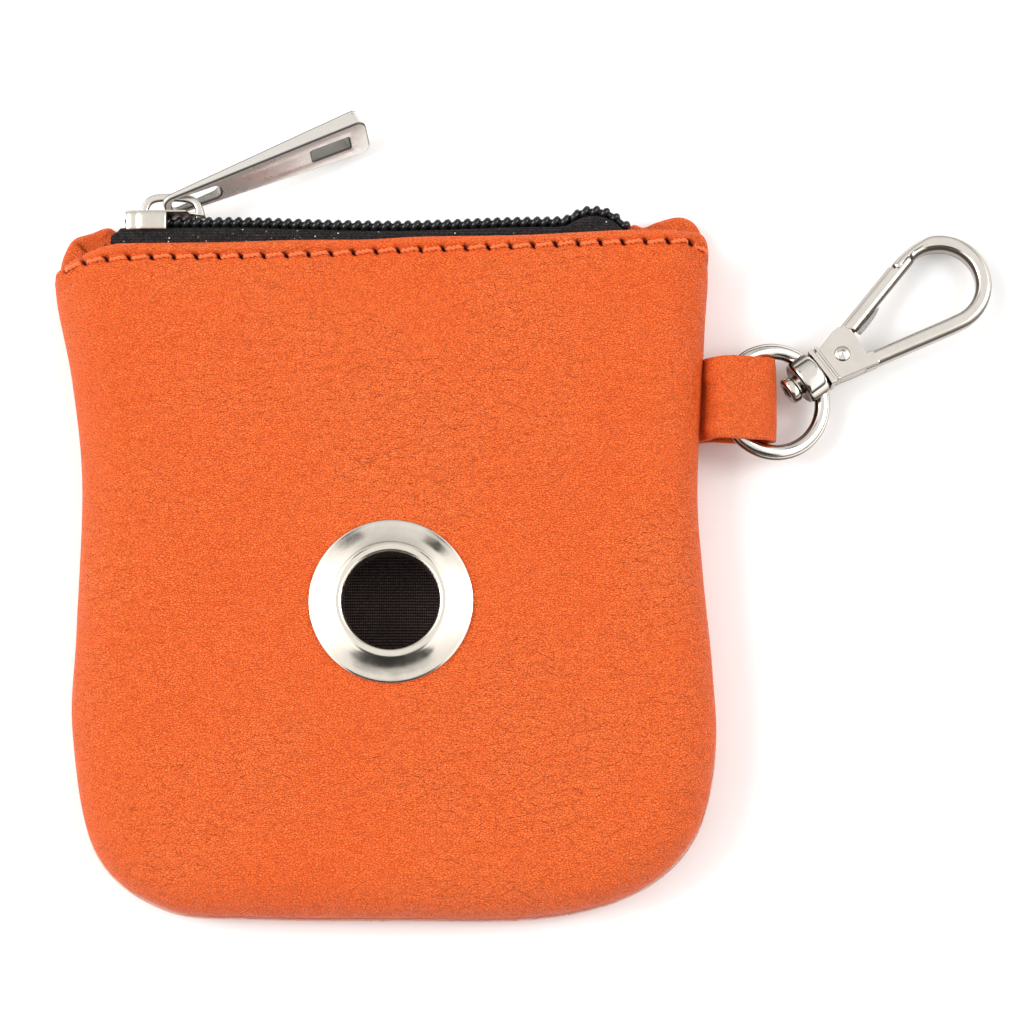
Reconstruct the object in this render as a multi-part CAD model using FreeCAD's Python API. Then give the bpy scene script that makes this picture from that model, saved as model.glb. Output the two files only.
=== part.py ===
"""Small leather treat pouch: zipped bag with an eyelet dispensing hole, side tab,
swivel ring and snap hook.  Millimetres.  X to the right, Y toward the zip, Z up
out of the front; the pouch lies flat on its back and the origin is on the flat
back face, straight under the centre of the eyelet."""
import FreeCAD, Part
import math
import os
from FreeCAD import Vector as V

# ---- leather body -------------------------------------------------------------
LEATHER = 1.2            # thickness of the leather
LINING = 0.35            # thickness of the lining cloth
THICK = 13.2             # pouch thickness at the eyelet
SEAM_Z = 4.5             # height of the side and bottom seam
ALLOWANCE = 5.5          # how far the turned seam allowance reaches inward
HEM_Y = 43.8             # raw edge of the turned hem inside the mouth
AIR = 0.05               # gap left between neighbouring soft layers

# widest outline of the body, from the bottom centre counter-clockwise; the points
# above Y = 58 only close the curve beyond the mouth and are trimmed away
OUTLINE = [(0, -46.2), (22, -45.9), (36.1, -42.2), (44.6, -34.5), (47.9, -22), (47.6, -9.6),
           (46.3, 4.7), (45.6, 18), (46.8, 41), (47.4, 53), (45.5, 66), (30, 73), (0, 74),
           (-33, 73), (-48, 66), (-51, 53), (-50.8, 46), (-48.3, 33.9), (-46.5, 18),
           (-47.0, -4), (-47.3, -19), (-43.6, -36.5), (-33.5, -44.7), (-20, -46.0)]
CENTRE = (-1.0, 8.0)     # the outline shrinks toward this point

FRONT_EDGE_R = 6.0       # rounding of the front panel toward its face
BACK_EDGE_R = 3.0
SEAM_R = 1.0             # rounding of both panels into the seam
LINING_IN = 6.2          # the lining bag stands this far inside the outline
LINING_TOP_Z = THICK - LEATHER - 2 * AIR
LINING_LOW_Z = LEATHER + 2 * AIR

# folded top edges of the two panels
FRONT_TOP = [(-64, 45), (-51, 51), (-42, 54), (-20, 54.3), (2, 54.5), (34, 56), (44.5, 56),
             (47.5, 54.2), (62, 46)]
BACK_TOP = [(-64, 45), (-51.5, 51), (-48.5, 56), (-44.5, 58.2), (-38, 57), (20, 57), (36, 58.6),
            (44.5, 60), (47.5, 57), (62, 46)]

# ---- stitching ----------------------------------------------------------------
STITCH_PITCH = 3.4
STITCH_LEN = 2.7
THREAD_R = 0.3
STITCH_INSET = 2.5       # from the folded edge down to the row of stitches
BACK_ROW_Y = 54.4        # the row on the back sits in a shallow groove
BACK_ROW_X0, BACK_ROW_X1 = -43.0, 42.0

# ---- zip ----------------------------------------------------------------------
ZIP_Z = THICK / 2        # middle plane of the zip
TAPE_Y0, TAPE_Y1 = 56.5, 56.92
COIL_Y1 = 58.85          # outer face of the coils
COIL_HALF = 2.9          # half width of both coils together
COIL_GAP = 0.55          # half of the slot between the two coils
COIL_PITCH = 1.5
ZIP_X0, ZIP_X1 = -43.5, 38.5
TAPE_X0, TAPE_X1 = -41.0, 37.0
TAPE_IN_Z = 10.19        # inner face of the part of the tape sewn under the hem
TAPE_FOOT_Y = 45.0

# ---- slider and puller --------------------------------------------------------
SLIDER_X0, SLIDER_X1 = -40.4, -31.2
TONGUE_X = -28.6
PLATE_Y0, PLATE_Y1 = 58.97, 59.5
PLATE_HALF = 3.9
FLANGE_IN = 3.2
LOWER_Y0, LOWER_Y1 = 55.1, 56.1
CROWN_X0, CROWN_X1 = -38.4, -28.9
CROWN_TOP = 62.75
CROWN_BAR = 1.05
CROWN_HALF = 0.6
PULLER_LEN = 32.4
PULLER_W0, PULLER_W1 = 4.0, 6.9
PULLER_T0, PULLER_T1 = 1.15, 3.2
PULLER_T_EYE = 2.0       # thickness at the far end of the eye
PULLER_NOSE_R = 1.5      # rounded corners at the crown's end
PULLER_EYE = 1.32        # half width of the oblong eye round the crown
PULLER_BAR_R = 0.55
PULLER_AT = V(-34.3, 60.75, 7.0)
PULLER_ALONG = V(0.911, 0.397, -0.095)
PULLER_ACROSS = V(-0.102, 0.447, 0.889)

# ---- eyelet -------------------------------------------------------------------
BORE_R = 7.0
FLANGE_R = 12.1
BARREL_R = 7.5

# ---- tab ----------------------------------------------------------------------
TAB_Y0, TAB_Y1 = 24.9, 37.4
TAB_HINGE = (48.0, 4.5)  # X and Z of the line the tab bends about
RING_WIRE_R = 1.17
LOOP_A = (49.84, 7.2)    # the two ends of the middle line of the loop's opening
LOOP_B = (54.5, 5.95)
LOOP_IN = 1.55

# ---- swivel ring and snap hook ---------------------------------------------------
RING_AT = V(57.3, 31.1, 5.2)
RING_R = 7.72            # to the middle of the wire
RING_TILT = 15.0         # ring lies this far off level, high side in the tab
BOSS_R, BOSS_U0, BOSS_U1 = 3.4, 4.6, 8.1
POST_R = 1.5
HOOK_PLAN, HOOK_DROP, HOOK_ROLL = 35.6, 4.5, 5.0
HOOK_HALF = 1.8          # half thickness of the hook
PIN = (12.52, -0.28)
PIN_R = 1.2
HEAD = (31.7, 0.1)
HEAD_OUT, HEAD_IN = 7.8, 5.35
FORK_HALF = 0.95         # half of the slot the gate's tongue turns in
TONGUE_HALF = 0.8


# ---- small helpers ------------------------------------------------------------
def box(x0, x1, y0, y1, z0, z1):
    return Part.makeBox(x1 - x0, y1 - y0, z1 - z0, V(x0, y0, z0))


def shrunk(point, inset):
    """A point of the outline moved inward, straight toward CENTRE."""
    dx, dy = point[0] - CENTRE[0], point[1] - CENTRE[1]
    k = 1 - inset / math.hypot(dx, dy)
    return CENTRE[0] + k * dx, CENTRE[1] + k * dy


def ring_wire(inset, z):
    curve = Part.BSplineCurve()
    curve.interpolate(Points=[V(*shrunk(p, inset), z) for p in OUTLINE], PeriodicFlag=True)
    return Part.Wire(curve.toShape())


def cushion(inset, z0, z1, radii):
    """Outline pushed in by inset, standing from z0 to z1 with its rims rounded."""
    solid = Part.Face(ring_wire(inset, z0)).extrude(V(0, 0, z1 - z0))
    for z, radius in zip((z0, z1), radii):
        if radius:
            rim = [e for e in solid.Edges if abs(e.BoundBox.ZMin - z) < 1e-3
                   and abs(e.BoundBox.ZMax - z) < 1e-3]
            solid = solid.makeFillet(radius, rim)
    return solid


def above(top):
    """Everything beyond a folded top edge."""
    return prism(top + [(top[-1][0], 95), (top[0][0], 95)], -5, 25)


def prism(points, z0, z1):
    pts = [V(x, y, z0) for x, y in points]
    face = Part.Face(Part.makePolygon(pts + [pts[0]]))
    return face.extrude(V(0, 0, z1 - z0))


def front_height(inset):
    """Height of the front face at a distance in from the widest outline."""
    if inset >= FRONT_EDGE_R:
        return THICK
    return THICK - FRONT_EDGE_R + math.sqrt(FRONT_EDGE_R ** 2 - (FRONT_EDGE_R - inset) ** 2)


def edge_y(top, x):
    for (x0, y0), (x1, y1) in zip(top, top[1:]):
        if x <= x1:
            return y0 + (y1 - y0) * (x - x0) / (x1 - x0)
    return top[-1][1]


def revolved(wire_edges):
    """A solid of revolution about Z from a closed chain of edges in the XZ plane."""
    return Part.Face(Part.Wire(wire_edges)).revolve(V(0, 0, 0), V(0, 0, 1), 360)


def arc(a, b, c):
    return Part.Arc(a, b, c).toShape()


def stitch(a, b):
    """One stitch: a short round-ended length of thread from a to b."""
    along = b - a
    size, r, k = along.Length, THREAD_R, THREAD_R * math.sqrt(0.5)
    rod = revolved([arc(V(0, 0, 0), V(k, 0, r - k), V(r, 0, r)),
                    Part.makeLine(V(r, 0, r), V(r, 0, size - r)),
                    arc(V(r, 0, size - r), V(k, 0, size - r + k), V(0, 0, size)),
                    Part.makeLine(V(0, 0, size), V(0, 0, 0))])
    rod.Placement = FreeCAD.Placement(a, FreeCAD.Rotation(V(0, 0, 1), along))
    return rod


def save(name, shape):
    shape.exportStep("parts/" + name + ".step")


# ---- leather body -------------------------------------------------------------
def panel(outer, inner, hem_z, allowance_z, top):
    """Leather panel with its side wall, turned hem at the mouth and seam allowance."""
    hem = inner.common(box(-70, 70, HEM_Y, 90, *hem_z))
    z0, z1 = allowance_z, allowance_z + LEATHER
    allowance = cushion(SEAM_R + 0.1, z0, z1, (0, 0)).cut(cushion(ALLOWANCE, z0, z1, (0, 0)))
    allowance = allowance.common(box(-70, 70, -60, 50, -5, 20))
    shell = outer.cut(inner).fuse([hem, allowance]).cut(above(top))
    slot = box(TAB_HINGE[0] - 6.2, 60, TAB_Y0 - 0.02, TAB_Y1 + 0.02,
               SEAM_Z - LEATHER - 0.02, SEAM_Z + LEATHER + 0.02)
    return shell.cut(slot)


def front_panel():
    outer = cushion(0, SEAM_Z, THICK, (SEAM_R, FRONT_EDGE_R))
    inner = cushion(LEATHER + SEAM_R * 0.5, SEAM_Z, THICK - LEATHER, (0, FRONT_EDGE_R - LEATHER))
    shell = panel(outer, inner, (THICK - 2 * LEATHER, THICK), SEAM_Z, FRONT_TOP)
    save("front_panel", shell.cut(Part.makeCylinder(BARREL_R + AIR, 10, V(0, 0, THICK - 5))))


def back_panel():
    outer = cushion(0, 0, SEAM_Z, (BACK_EDGE_R, SEAM_R))
    inner = cushion(LEATHER + SEAM_R * 0.5, LEATHER, SEAM_Z, (BACK_EDGE_R - LEATHER, 0))
    shell = panel(outer, inner, (0, 2 * LEATHER), SEAM_Z - LEATHER, BACK_TOP)
    groove = box(BACK_ROW_X0 - 0.5, BACK_ROW_X1 + 0.5, BACK_ROW_Y - 0.4, BACK_ROW_Y + 0.4, -1, 0.7)
    save("back_panel", shell.cut(groove))


def linings():
    """Two halves of a thin cloth bag standing inside the seam allowance."""
    stop = box(-70, 70, -60, HEM_Y - 0.3, -5, 20)
    z = SEAM_Z + AIR
    front = cushion(LINING_IN, z, LINING_TOP_Z, (0, 5.0))
    front = front.cut(cushion(LINING_IN + LINING, z, LINING_TOP_Z - LINING, (0, 4.65)))
    front = front.cut(Part.makeCylinder(BARREL_R + AIR, 10, V(0, 0, THICK - 5)))
    save("front_lining", front.common(stop))
    z = SEAM_Z - AIR
    back = cushion(LINING_IN, LINING_LOW_Z, z, (2.5, 0))
    back = back.cut(cushion(LINING_IN + LINING, LINING_LOW_Z + LINING, z, (2.2, 0)))
    save("back_lining", back.common(stop))


def tab_anchor():
    """End of the tab strap, caught between the two seam allowances."""
    x1 = TAB_HINGE[0] - 1.5
    strap = box(x1 - 4.5, x1, TAB_Y0, TAB_Y1, SEAM_Z - LEATHER, SEAM_Z + LEATHER)
    save("tab_anchor", strap.makeFillet(0.5, [e for e in strap.Edges
                                              if abs(e.CenterOfMass.x - x1) < 1e-6 and e.Length > 5]))


# ---- stitching ----------------------------------------------------------------
def stitch_row(top, lift):
    """End points of the stitches along a folded edge, resting on the panel's face."""
    out = []
    x = -49.0
    while x < 45.5:
        ends = []
        for px in (x, x + STITCH_LEN):
            y = edge_y(top, px) - STITCH_INSET
            inset = min(px + 50.9, 47.5 - px)
            z = front_height(max(inset, 0.3))
            ends.append(V(px, y, z + lift))
        out.append(ends)
        x += STITCH_PITCH
    return out


def top_stitching():
    front = [stitch(a, b) for a, b in stitch_row(FRONT_TOP, THREAD_R + AIR)]
    save("top_stitching_front", Part.makeCompound(front[1:-1]))
    back = []
    x = BACK_ROW_X0
    while x + STITCH_LEN <= BACK_ROW_X1:
        back.append(stitch(V(x, BACK_ROW_Y, THREAD_R + AIR),
                           V(x + STITCH_LEN, BACK_ROW_Y, THREAD_R + AIR)))
        x += STITCH_PITCH
    save("top_stitching_back", Part.makeCompound(back))


def seam_stitching():
    """Thread of the side and bottom seam, lying on the turned allowance inside."""
    curve = Part.BSplineCurve()
    z = SEAM_Z + LEATHER + THREAD_R + AIR
    curve.interpolate(Points=[V(*shrunk(p, 4.2), z) for p in OUTLINE], PeriodicFlag=True)
    points = curve.toShape().discretize(Distance=STITCH_PITCH)
    rods = []
    for a, b in zip(points, points[1:]):
        if max(a.y, b.y) < 49:
            rods.append(stitch(a, a + (b - a) * (STITCH_LEN / (b - a).Length)))
    save("side_seam_stitching", Part.makeCompound(rods))


# ---- zip ----------------------------------------------------------------------
def mirrored(shape):
    """The other half of the zip, mirrored in its middle plane."""
    return shape.mirror(V(0, 0, ZIP_Z), V(0, 0, 1))


def zip_tapes():
    """Woven tape: stands up behind the coil, then turns in under the hem."""
    t = TAPE_Y1 - TAPE_Y0
    bend = 0.6
    yc, zc = TAPE_Y0 - bend, TAPE_IN_Z - bend
    k = math.sqrt(0.5)
    x = TAPE_X0

    def at(radius, share):
        return V(x, yc + radius * math.cos(share), zc + radius * math.sin(share))

    z0 = ZIP_Z + COIL_GAP
    outer, inner = bend + t, bend
    edges = [Part.makeLine(V(x, TAPE_Y1, z0), at(outer, 0)),
             arc(at(outer, 0), at(outer, math.pi / 4), at(outer, math.pi / 2)),
             Part.makeLine(at(outer, math.pi / 2), V(x, TAPE_FOOT_Y, zc + outer)),
             Part.makeLine(V(x, TAPE_FOOT_Y, zc + outer), V(x, TAPE_FOOT_Y, zc + inner)),
             Part.makeLine(V(x, TAPE_FOOT_Y, zc + inner), at(inner, math.pi / 2)),
             arc(at(inner, math.pi / 2), at(inner, math.pi / 4), at(inner, 0)),
             Part.makeLine(at(inner, 0), V(x, TAPE_Y0, z0)),
             Part.makeLine(V(x, TAPE_Y0, z0), V(x, TAPE_Y1, z0))]
    tape = Part.Face(Part.Wire(edges)).extrude(V(TAPE_X1 - TAPE_X0, 0, 0))
    save("zipper_tape_front", tape)
    save("zipper_tape_back", mirrored(tape))


def zip_coils():
    """Nylon coil: a rounded bar with one bulge for every turn of the coil."""
    n = int((ZIP_X1 - ZIP_X0) / COIL_PITCH)
    y0, y1, dip = TAPE_Y1, COIL_Y1, 0.35
    edges = []
    for i in range(n):
        a = ZIP_X0 + i * COIL_PITCH
        b = a + COIL_PITCH
        edges.append(arc(V(a, y1 - dip, 0), V((a + b) / 2, y1, 0), V(b, y1 - dip, 0)))
    end = ZIP_X0 + n * COIL_PITCH
    edges += [Part.makeLine(V(end, y1 - dip, 0), V(end, y0, 0)),
              Part.makeLine(V(end, y0, 0), V(ZIP_X0, y0, 0)),
              Part.makeLine(V(ZIP_X0, y0, 0), V(ZIP_X0, y1 - dip, 0))]
    z0 = ZIP_Z + COIL_GAP
    depth = COIL_HALF - COIL_GAP
    ribbed = Part.Face(Part.Wire(edges)).extrude(V(0, 0, depth))
    ribbed.translate(V(0, 0, z0))
    bar = box(ZIP_X0, end, y0, y1, z0, z0 + depth)
    bar = bar.makeFillet(0.7, [e for e in bar.Edges if e.Length > 10
                               and abs(e.CenterOfMass.y - y1) < 1e-6])
    coil = ribbed.common(bar)
    save("zipper_coil_front", coil)
    save("zipper_coil_back", mirrored(coil))


# ---- slider and puller --------------------------------------------------------
def slider_body():
    """Two plates with side flanges round the coils, joined by a thin post between
    them, and the crown that carries the puller."""
    def plate(points, y0, y1):
        pts = [V(x, y0, ZIP_Z + z) for x, z in points]
        return Part.Face(Part.makePolygon(pts + [pts[0]])).extrude(V(0, y1 - y0, 0))

    h, x0, x1 = PLATE_HALF, SLIDER_X0, SLIDER_X1
    upper = plate([(x0, -h + 0.4), (x0 + 2.9, -h), (x1, -h), (x1 + 0.3, -2.6), (TONGUE_X, -1.1),
                   (TONGUE_X, 1.1), (x1 + 0.3, 2.6), (x1, h), (x0 + 2.9, h), (x0, h - 0.4)],
                  PLATE_Y0, PLATE_Y1)
    flange_y = TAPE_Y1 + 0.2
    flange = plate([(x0, h - 0.4), (x0 + 2.9, h), (x1, h), (x1, FLANGE_IN), (x0, FLANGE_IN)],
                   flange_y, PLATE_Y1)
    other = flange.mirror(V(0, 0, ZIP_Z), V(0, 0, 1))
    lower = plate([(x0 + 0.3, -2.4), (x0 + 2.9, -2.7), (x1 - 0.3, -2.7), (x1 - 0.3, 2.7),
                   (x0 + 2.9, 2.7), (x0 + 0.3, 2.4)], LOWER_Y0, LOWER_Y1)
    post = box(x0 + 0.5, x0 + 4.2, LOWER_Y1 - 0.1, PLATE_Y0 + 0.1, ZIP_Z - 0.25, ZIP_Z + 0.25)
    whole = upper.fuse([flange, other, lower, post, crown()]).removeSplitter()
    save("slider_body", whole)


def crown():
    c0, c1, top, y0 = CROWN_X0, CROWN_X1, CROWN_TOP, PLATE_Y1 - 0.2
    z0 = ZIP_Z - CROWN_HALF
    outer = prism([(c0, y0), (c0, top), (c1, top), (c1, y0)], z0, z0 + 2 * CROWN_HALF)
    outer = outer.makeFillet(2.0, [e for e in outer.Edges if e.Length < 2 * CROWN_HALF + 0.01
                                   and abs(e.CenterOfMass.y - top) < 1e-6
                                   and abs(e.CenterOfMass.z - ZIP_Z) < 1e-6])
    b = CROWN_BAR
    inner = prism([(c0 + b, y0 - 1), (c0 + b, top - b), (c1 - b, top - b), (c1 - b, y0 - 1)],
                  z0 - 1, z0 + 2 * CROWN_HALF + 1)
    inner = inner.makeFillet(1.0, [e for e in inner.Edges
                                   if abs(e.CenterOfMass.y - (top - b)) < 1e-6
                                   and abs(e.CenterOfMass.z - ZIP_Z) < 1e-6])
    return outer.cut(inner)


def puller_frame():
    """Placement that carries x = along, y = across, z = out of the puller's face."""
    x = V(PULLER_ALONG).normalize()
    z = x.cross(PULLER_ACROSS).normalize()
    y = z.cross(x)
    m = FreeCAD.Matrix(x.x, y.x, z.x, PULLER_AT.x, x.y, y.y, z.y, PULLER_AT.y,
                       x.z, y.z, z.z, PULLER_AT.z, 0, 0, 0, 1)
    return FreeCAD.Placement(m)


def puller():
    """Tapered bar with an oblong eye at the crown and a slot near the free end."""
    n, w = PULLER_LEN, PULLER_W1 / 2
    w0, r, r0 = PULLER_W0 / 2, PULLER_BAR_R, PULLER_NOSE_R
    k, k0 = 1.6 * (1 - math.sqrt(0.5)), r0 * (1 - math.sqrt(0.5))
    plan = [Part.makeLine(V(r0 - r, -w0, -3), V(n - 1.6, -w, -3)),
            arc(V(n - 1.6, -w, -3), V(n - k, -w + k, -3), V(n, -w + 1.6, -3)),
            Part.makeLine(V(n, -w + 1.6, -3), V(n, w - 1.6, -3)),
            arc(V(n, w - 1.6, -3), V(n - k, w - k, -3), V(n - 1.6, w, -3)),
            Part.makeLine(V(n - 1.6, w, -3), V(r0 - r, w0, -3)),
            arc(V(r0 - r, w0, -3), V(k0 - r, w0 - k0, -3), V(-r, w0 - r0, -3)),
            Part.makeLine(V(-r, w0 - r0, -3), V(-r, -w0 + r0, -3)),
            arc(V(-r, -w0 + r0, -3), V(k0 - r, -w0 + k0, -3), V(r0 - r, -w0, -3))]
    plate = Part.Face(Part.Wire(plan)).extrude(V(0, 0, 6))
    t0, t1, te = PULLER_T0 / 2, PULLER_T1 / 2, PULLER_T_EYE / 2
    side = [(0.3, -t0), (2, -t0), (9, -te), (n + 1, -t1), (n + 1, t1), (9, te), (2, t0), (0.3, t0)]
    pts = [V(x, -5, z) for x, z in side]
    blade = plate.common(Part.Face(Part.makePolygon(pts + [pts[0]])).extrude(V(0, 10, 0)))
    bar = plate.common(Part.makeCylinder(r, PULLER_W0, V(0, -w0, 0), V(0, 1, 0)))
    eye = box(-1, 8.4, -PULLER_EYE, PULLER_EYE, -3, 3)
    slot = box(n - 9.2, n - 3.0, -1.2, 1.2, -3, 3)
    whole = blade.cut([eye, slot]).fuse(bar).removeSplitter()
    whole.Placement = puller_frame()
    save("puller", whole)


# ---- eyelet -------------------------------------------------------------------
def eyelet():
    """Dished flange with a rolled rim and a barrel clenched under the washer."""
    r, f, t = BORE_R, FLANGE_R, THICK
    line = [(f, t + 0.02), (f, t + 0.3), (9.6, t + 1.05), (8.4, t + 1.6)]
    edges = [Part.makeLine(V(a[0], 0, a[1]), V(b[0], 0, b[1])) for a, b in zip(line, line[1:])]
    edges += [arc(V(8.4, 0, t + 1.6), V(7.6, 0, t + 1.85), V(r, 0, t + 1.1)),
              Part.makeLine(V(r, 0, t + 1.1), V(r, 0, t - 2.2)),
              arc(V(r, 0, t - 2.2), V(7.4, 0, t - 2.75), V(8.3, 0, t - 2.85))]
    under = [(8.3, t - 2.85), (8.3, t - 2.35), (BARREL_R, t - 2.35), (BARREL_R, t + 0.02)]
    edges += [Part.makeLine(V(a[0], 0, a[1]), V(b[0], 0, b[1])) for a, b in zip(under, under[1:])]
    edges.append(Part.makeLine(V(BARREL_R, 0, t + 0.02), V(f, 0, t + 0.02)))
    save("eyelet", revolved(edges))


def eyelet_washer():
    ring = Part.makeCylinder(11.5, 0.4, V(0, 0, THICK - 2.1))
    ring = ring.cut(Part.makeCylinder(BARREL_R + 0.02, 2, V(0, 0, THICK - 3)))
    save("eyelet_washer", ring)


# ---- tab ----------------------------------------------------------------------
def round_hull(circles):
    """Convex outline (X, Z) round circles given in order, as a face at y = TAB_Y0."""
    edges = []
    n = len(circles)
    touch = []
    for i in range(n):
        (ax, az, ar), (bx, bz, br) = circles[i], circles[(i + 1) % n]
        span = math.hypot(bx - ax, bz - az)
        base = math.atan2(bz - az, bx - ax)
        turn = base - math.acos((ar - br) / span)
        touch.append((V(ax + ar * math.cos(turn), TAB_Y0, az + ar * math.sin(turn)),
                      V(bx + br * math.cos(turn), TAB_Y0, bz + br * math.sin(turn)), turn))
    for i in range(n):
        start, end, turn = touch[i]
        nxt = touch[(i + 1) % n]
        edges.append(Part.makeLine(start, end))
        cx, cz, cr = circles[(i + 1) % n]
        sweep = (nxt[2] - turn) % (2 * math.pi)
        mid = turn + sweep / 2
        edges.append(arc(end, V(cx + cr * math.cos(mid), TAB_Y0, cz + cr * math.sin(mid)), nxt[0]))
    return Part.Face(Part.Wire(edges))


def tab_loop():
    """Leather strap folded round the swivel ring; it bends at the side seam."""
    wall = LOOP_IN + LEATHER
    outer = round_hull([(TAB_HINGE[0], TAB_HINGE[1], 1.1), (LOOP_B[0], LOOP_B[1], wall),
                        (LOOP_A[0], LOOP_A[1], wall)])
    inner = round_hull([(LOOP_A[0], LOOP_A[1], LOOP_IN), (LOOP_B[0], LOOP_B[1], LOOP_IN)])
    save("tab_loop", outer.cut(inner).extrude(V(0, TAB_Y1 - TAB_Y0, 0)))


# ---- swivel ring and snap hook ---------------------------------------------------
def hook_frame():
    """Placement of the hook: x along it from the ring's middle, z out of its face."""
    plan, drop, roll = (math.radians(a) for a in (HOOK_PLAN, HOOK_DROP, HOOK_ROLL))
    x = V(math.cos(drop) * math.cos(plan), math.cos(drop) * math.sin(plan), -math.sin(drop))
    level = V(-math.sin(plan), math.cos(plan), 0)
    up = x.cross(level)
    y = level * math.cos(roll) - up * math.sin(roll)
    z = x.cross(y)
    m = FreeCAD.Matrix(x.x, y.x, z.x, RING_AT.x, x.y, y.y, z.y, RING_AT.y,
                       x.z, y.z, z.z, RING_AT.z, 0, 0, 0, 1)
    return FreeCAD.Placement(m)


def swivel_ring():
    """Round ring with a thick boss bored for the hook's post."""
    tilt = math.radians(RING_TILT)
    axis = V(math.sin(tilt), 0, math.cos(tilt))
    wire = Part.makeTorus(RING_R, RING_WIRE_R, RING_AT, axis)
    placed = hook_frame()
    boss = Part.makeCylinder(BOSS_R, BOSS_U1 - BOSS_U0, V(BOSS_U0, 0, 0), V(1, 0, 0))
    boss = boss.makeFillet(0.5, [boss.Edges[0], boss.Edges[2]])
    boss.Placement = placed
    trim = Part.makeBox(4, 9, 9, V(BOSS_U1, -4.5, -4.5))
    trim.Placement = placed
    hole = Part.makeCylinder(POST_R + 0.08, 8, V(3, 0, 0), V(1, 0, 0))
    hole.Placement = placed
    save("swivel_ring", wire.fuse(boss).cut([trim, hole]))


def swivel_post():
    """Post of the hook, passed through the boss and riveted over inside the ring."""
    post = Part.makeCylinder(POST_R, 6.8, V(3.2, 0, 0), V(1, 0, 0))
    head = Part.makeCylinder(2.1, 1.5, V(2.4, 0, 0), V(1, 0, 0))
    head = head.makeFillet(0.35, [head.Edges[0], head.Edges[2]])
    whole = head.fuse(post)
    whole.Placement = hook_frame()
    save("swivel_post", whole)


def cheek_arc(extra):
    """Three points of the rounded end of the hook's cheeks, moved out by extra."""
    out = []
    for u, v in ((15.6, -2.2), (16.05, 0.9), (14.3, 3.5)):
        du, dv = u - PIN[0], v - PIN[1]
        k = 1 + extra / math.hypot(du, dv)
        out.append(V(PIN[0] + k * du, PIN[1] + k * dv, -HOOK_HALF))
    return out


def hook_body():
    """Base flange, cheeks round the gate's tongue, and the teardrop bar."""
    z = -HOOK_HALF
    hu, hv = HEAD
    low, mid, high = cheek_arc(0)
    p = [V(9.0, 2.9, z), V(9.0, -3.1, z), V(hu - 1.62, hv - 7.63, z), V(hu + HEAD_OUT, hv, z),
         V(hu - 1.95, hv + 7.55, z), V(27.1, 6.95, z), V(27.9, 5.85, z), V(30.15, 6.45, z),
         V(30.85, hv + 5.28, z), V(hu + HEAD_IN, hv, z), V(hu - 1.03, hv - 5.25, z)]
    edges = [Part.makeLine(p[0], p[1]), Part.makeLine(p[1], p[2]), arc(p[2], p[3], p[4]),
             Part.makeLine(p[4], p[5]), Part.makeLine(p[5], p[6]), Part.makeLine(p[6], p[7]),
             Part.makeLine(p[7], p[8]), arc(p[8], p[9], p[10]), Part.makeLine(p[10], low),
             arc(low, mid, high), Part.makeLine(high, p[0])]
    bar = Part.Face(Part.Wire(edges)).extrude(V(0, 0, 2 * HOOK_HALF))
    rim = [e for e in bar.Edges if abs(abs(e.CenterOfMass.z) - HOOK_HALF) < 1e-6
           and e.CenterOfMass.x > 16.3]
    bar = bar.makeFillet(0.55, rim)
    flange = Part.makeBox(0.9, 6.3, 4.2, V(8.35, -3.3, -2.1))
    flange = flange.makeFillet(0.35, flange.Edges)
    fork = Part.makeBox(7.5, 8, 2 * FORK_HALF, V(10.2, PIN[1] - 2.45, -FORK_HALF))
    fork = fork.cut(Part.makeBox(8, 9, 9, V(10, -8, -4.5)).common(
        prism([(14.5, -2.6), (19, -3.6), (19, -8), (14.5, -8)], -4, 4)))
    pin = Part.makeCylinder(PIN_R, 9, V(PIN[0], PIN[1], -4.5))
    post = Part.makeCylinder(POST_R, 2.4, V(7.6, 0, 0), V(1, 0, 0))
    whole = bar.fuse(flange).cut([fork, pin, post]).removeSplitter()
    whole.Placement = hook_frame()
    save("hook_body", whole)


def gate_pin():
    rod = Part.makeCylinder(PIN_R, 2 * HOOK_HALF + 0.5, V(PIN[0], PIN[1], -HOOK_HALF - 0.25))
    rod = rod.makeFillet(0.22, [rod.Edges[0], rod.Edges[2]])
    rod.Placement = hook_frame()
    save("gate_pin", rod)


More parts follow.
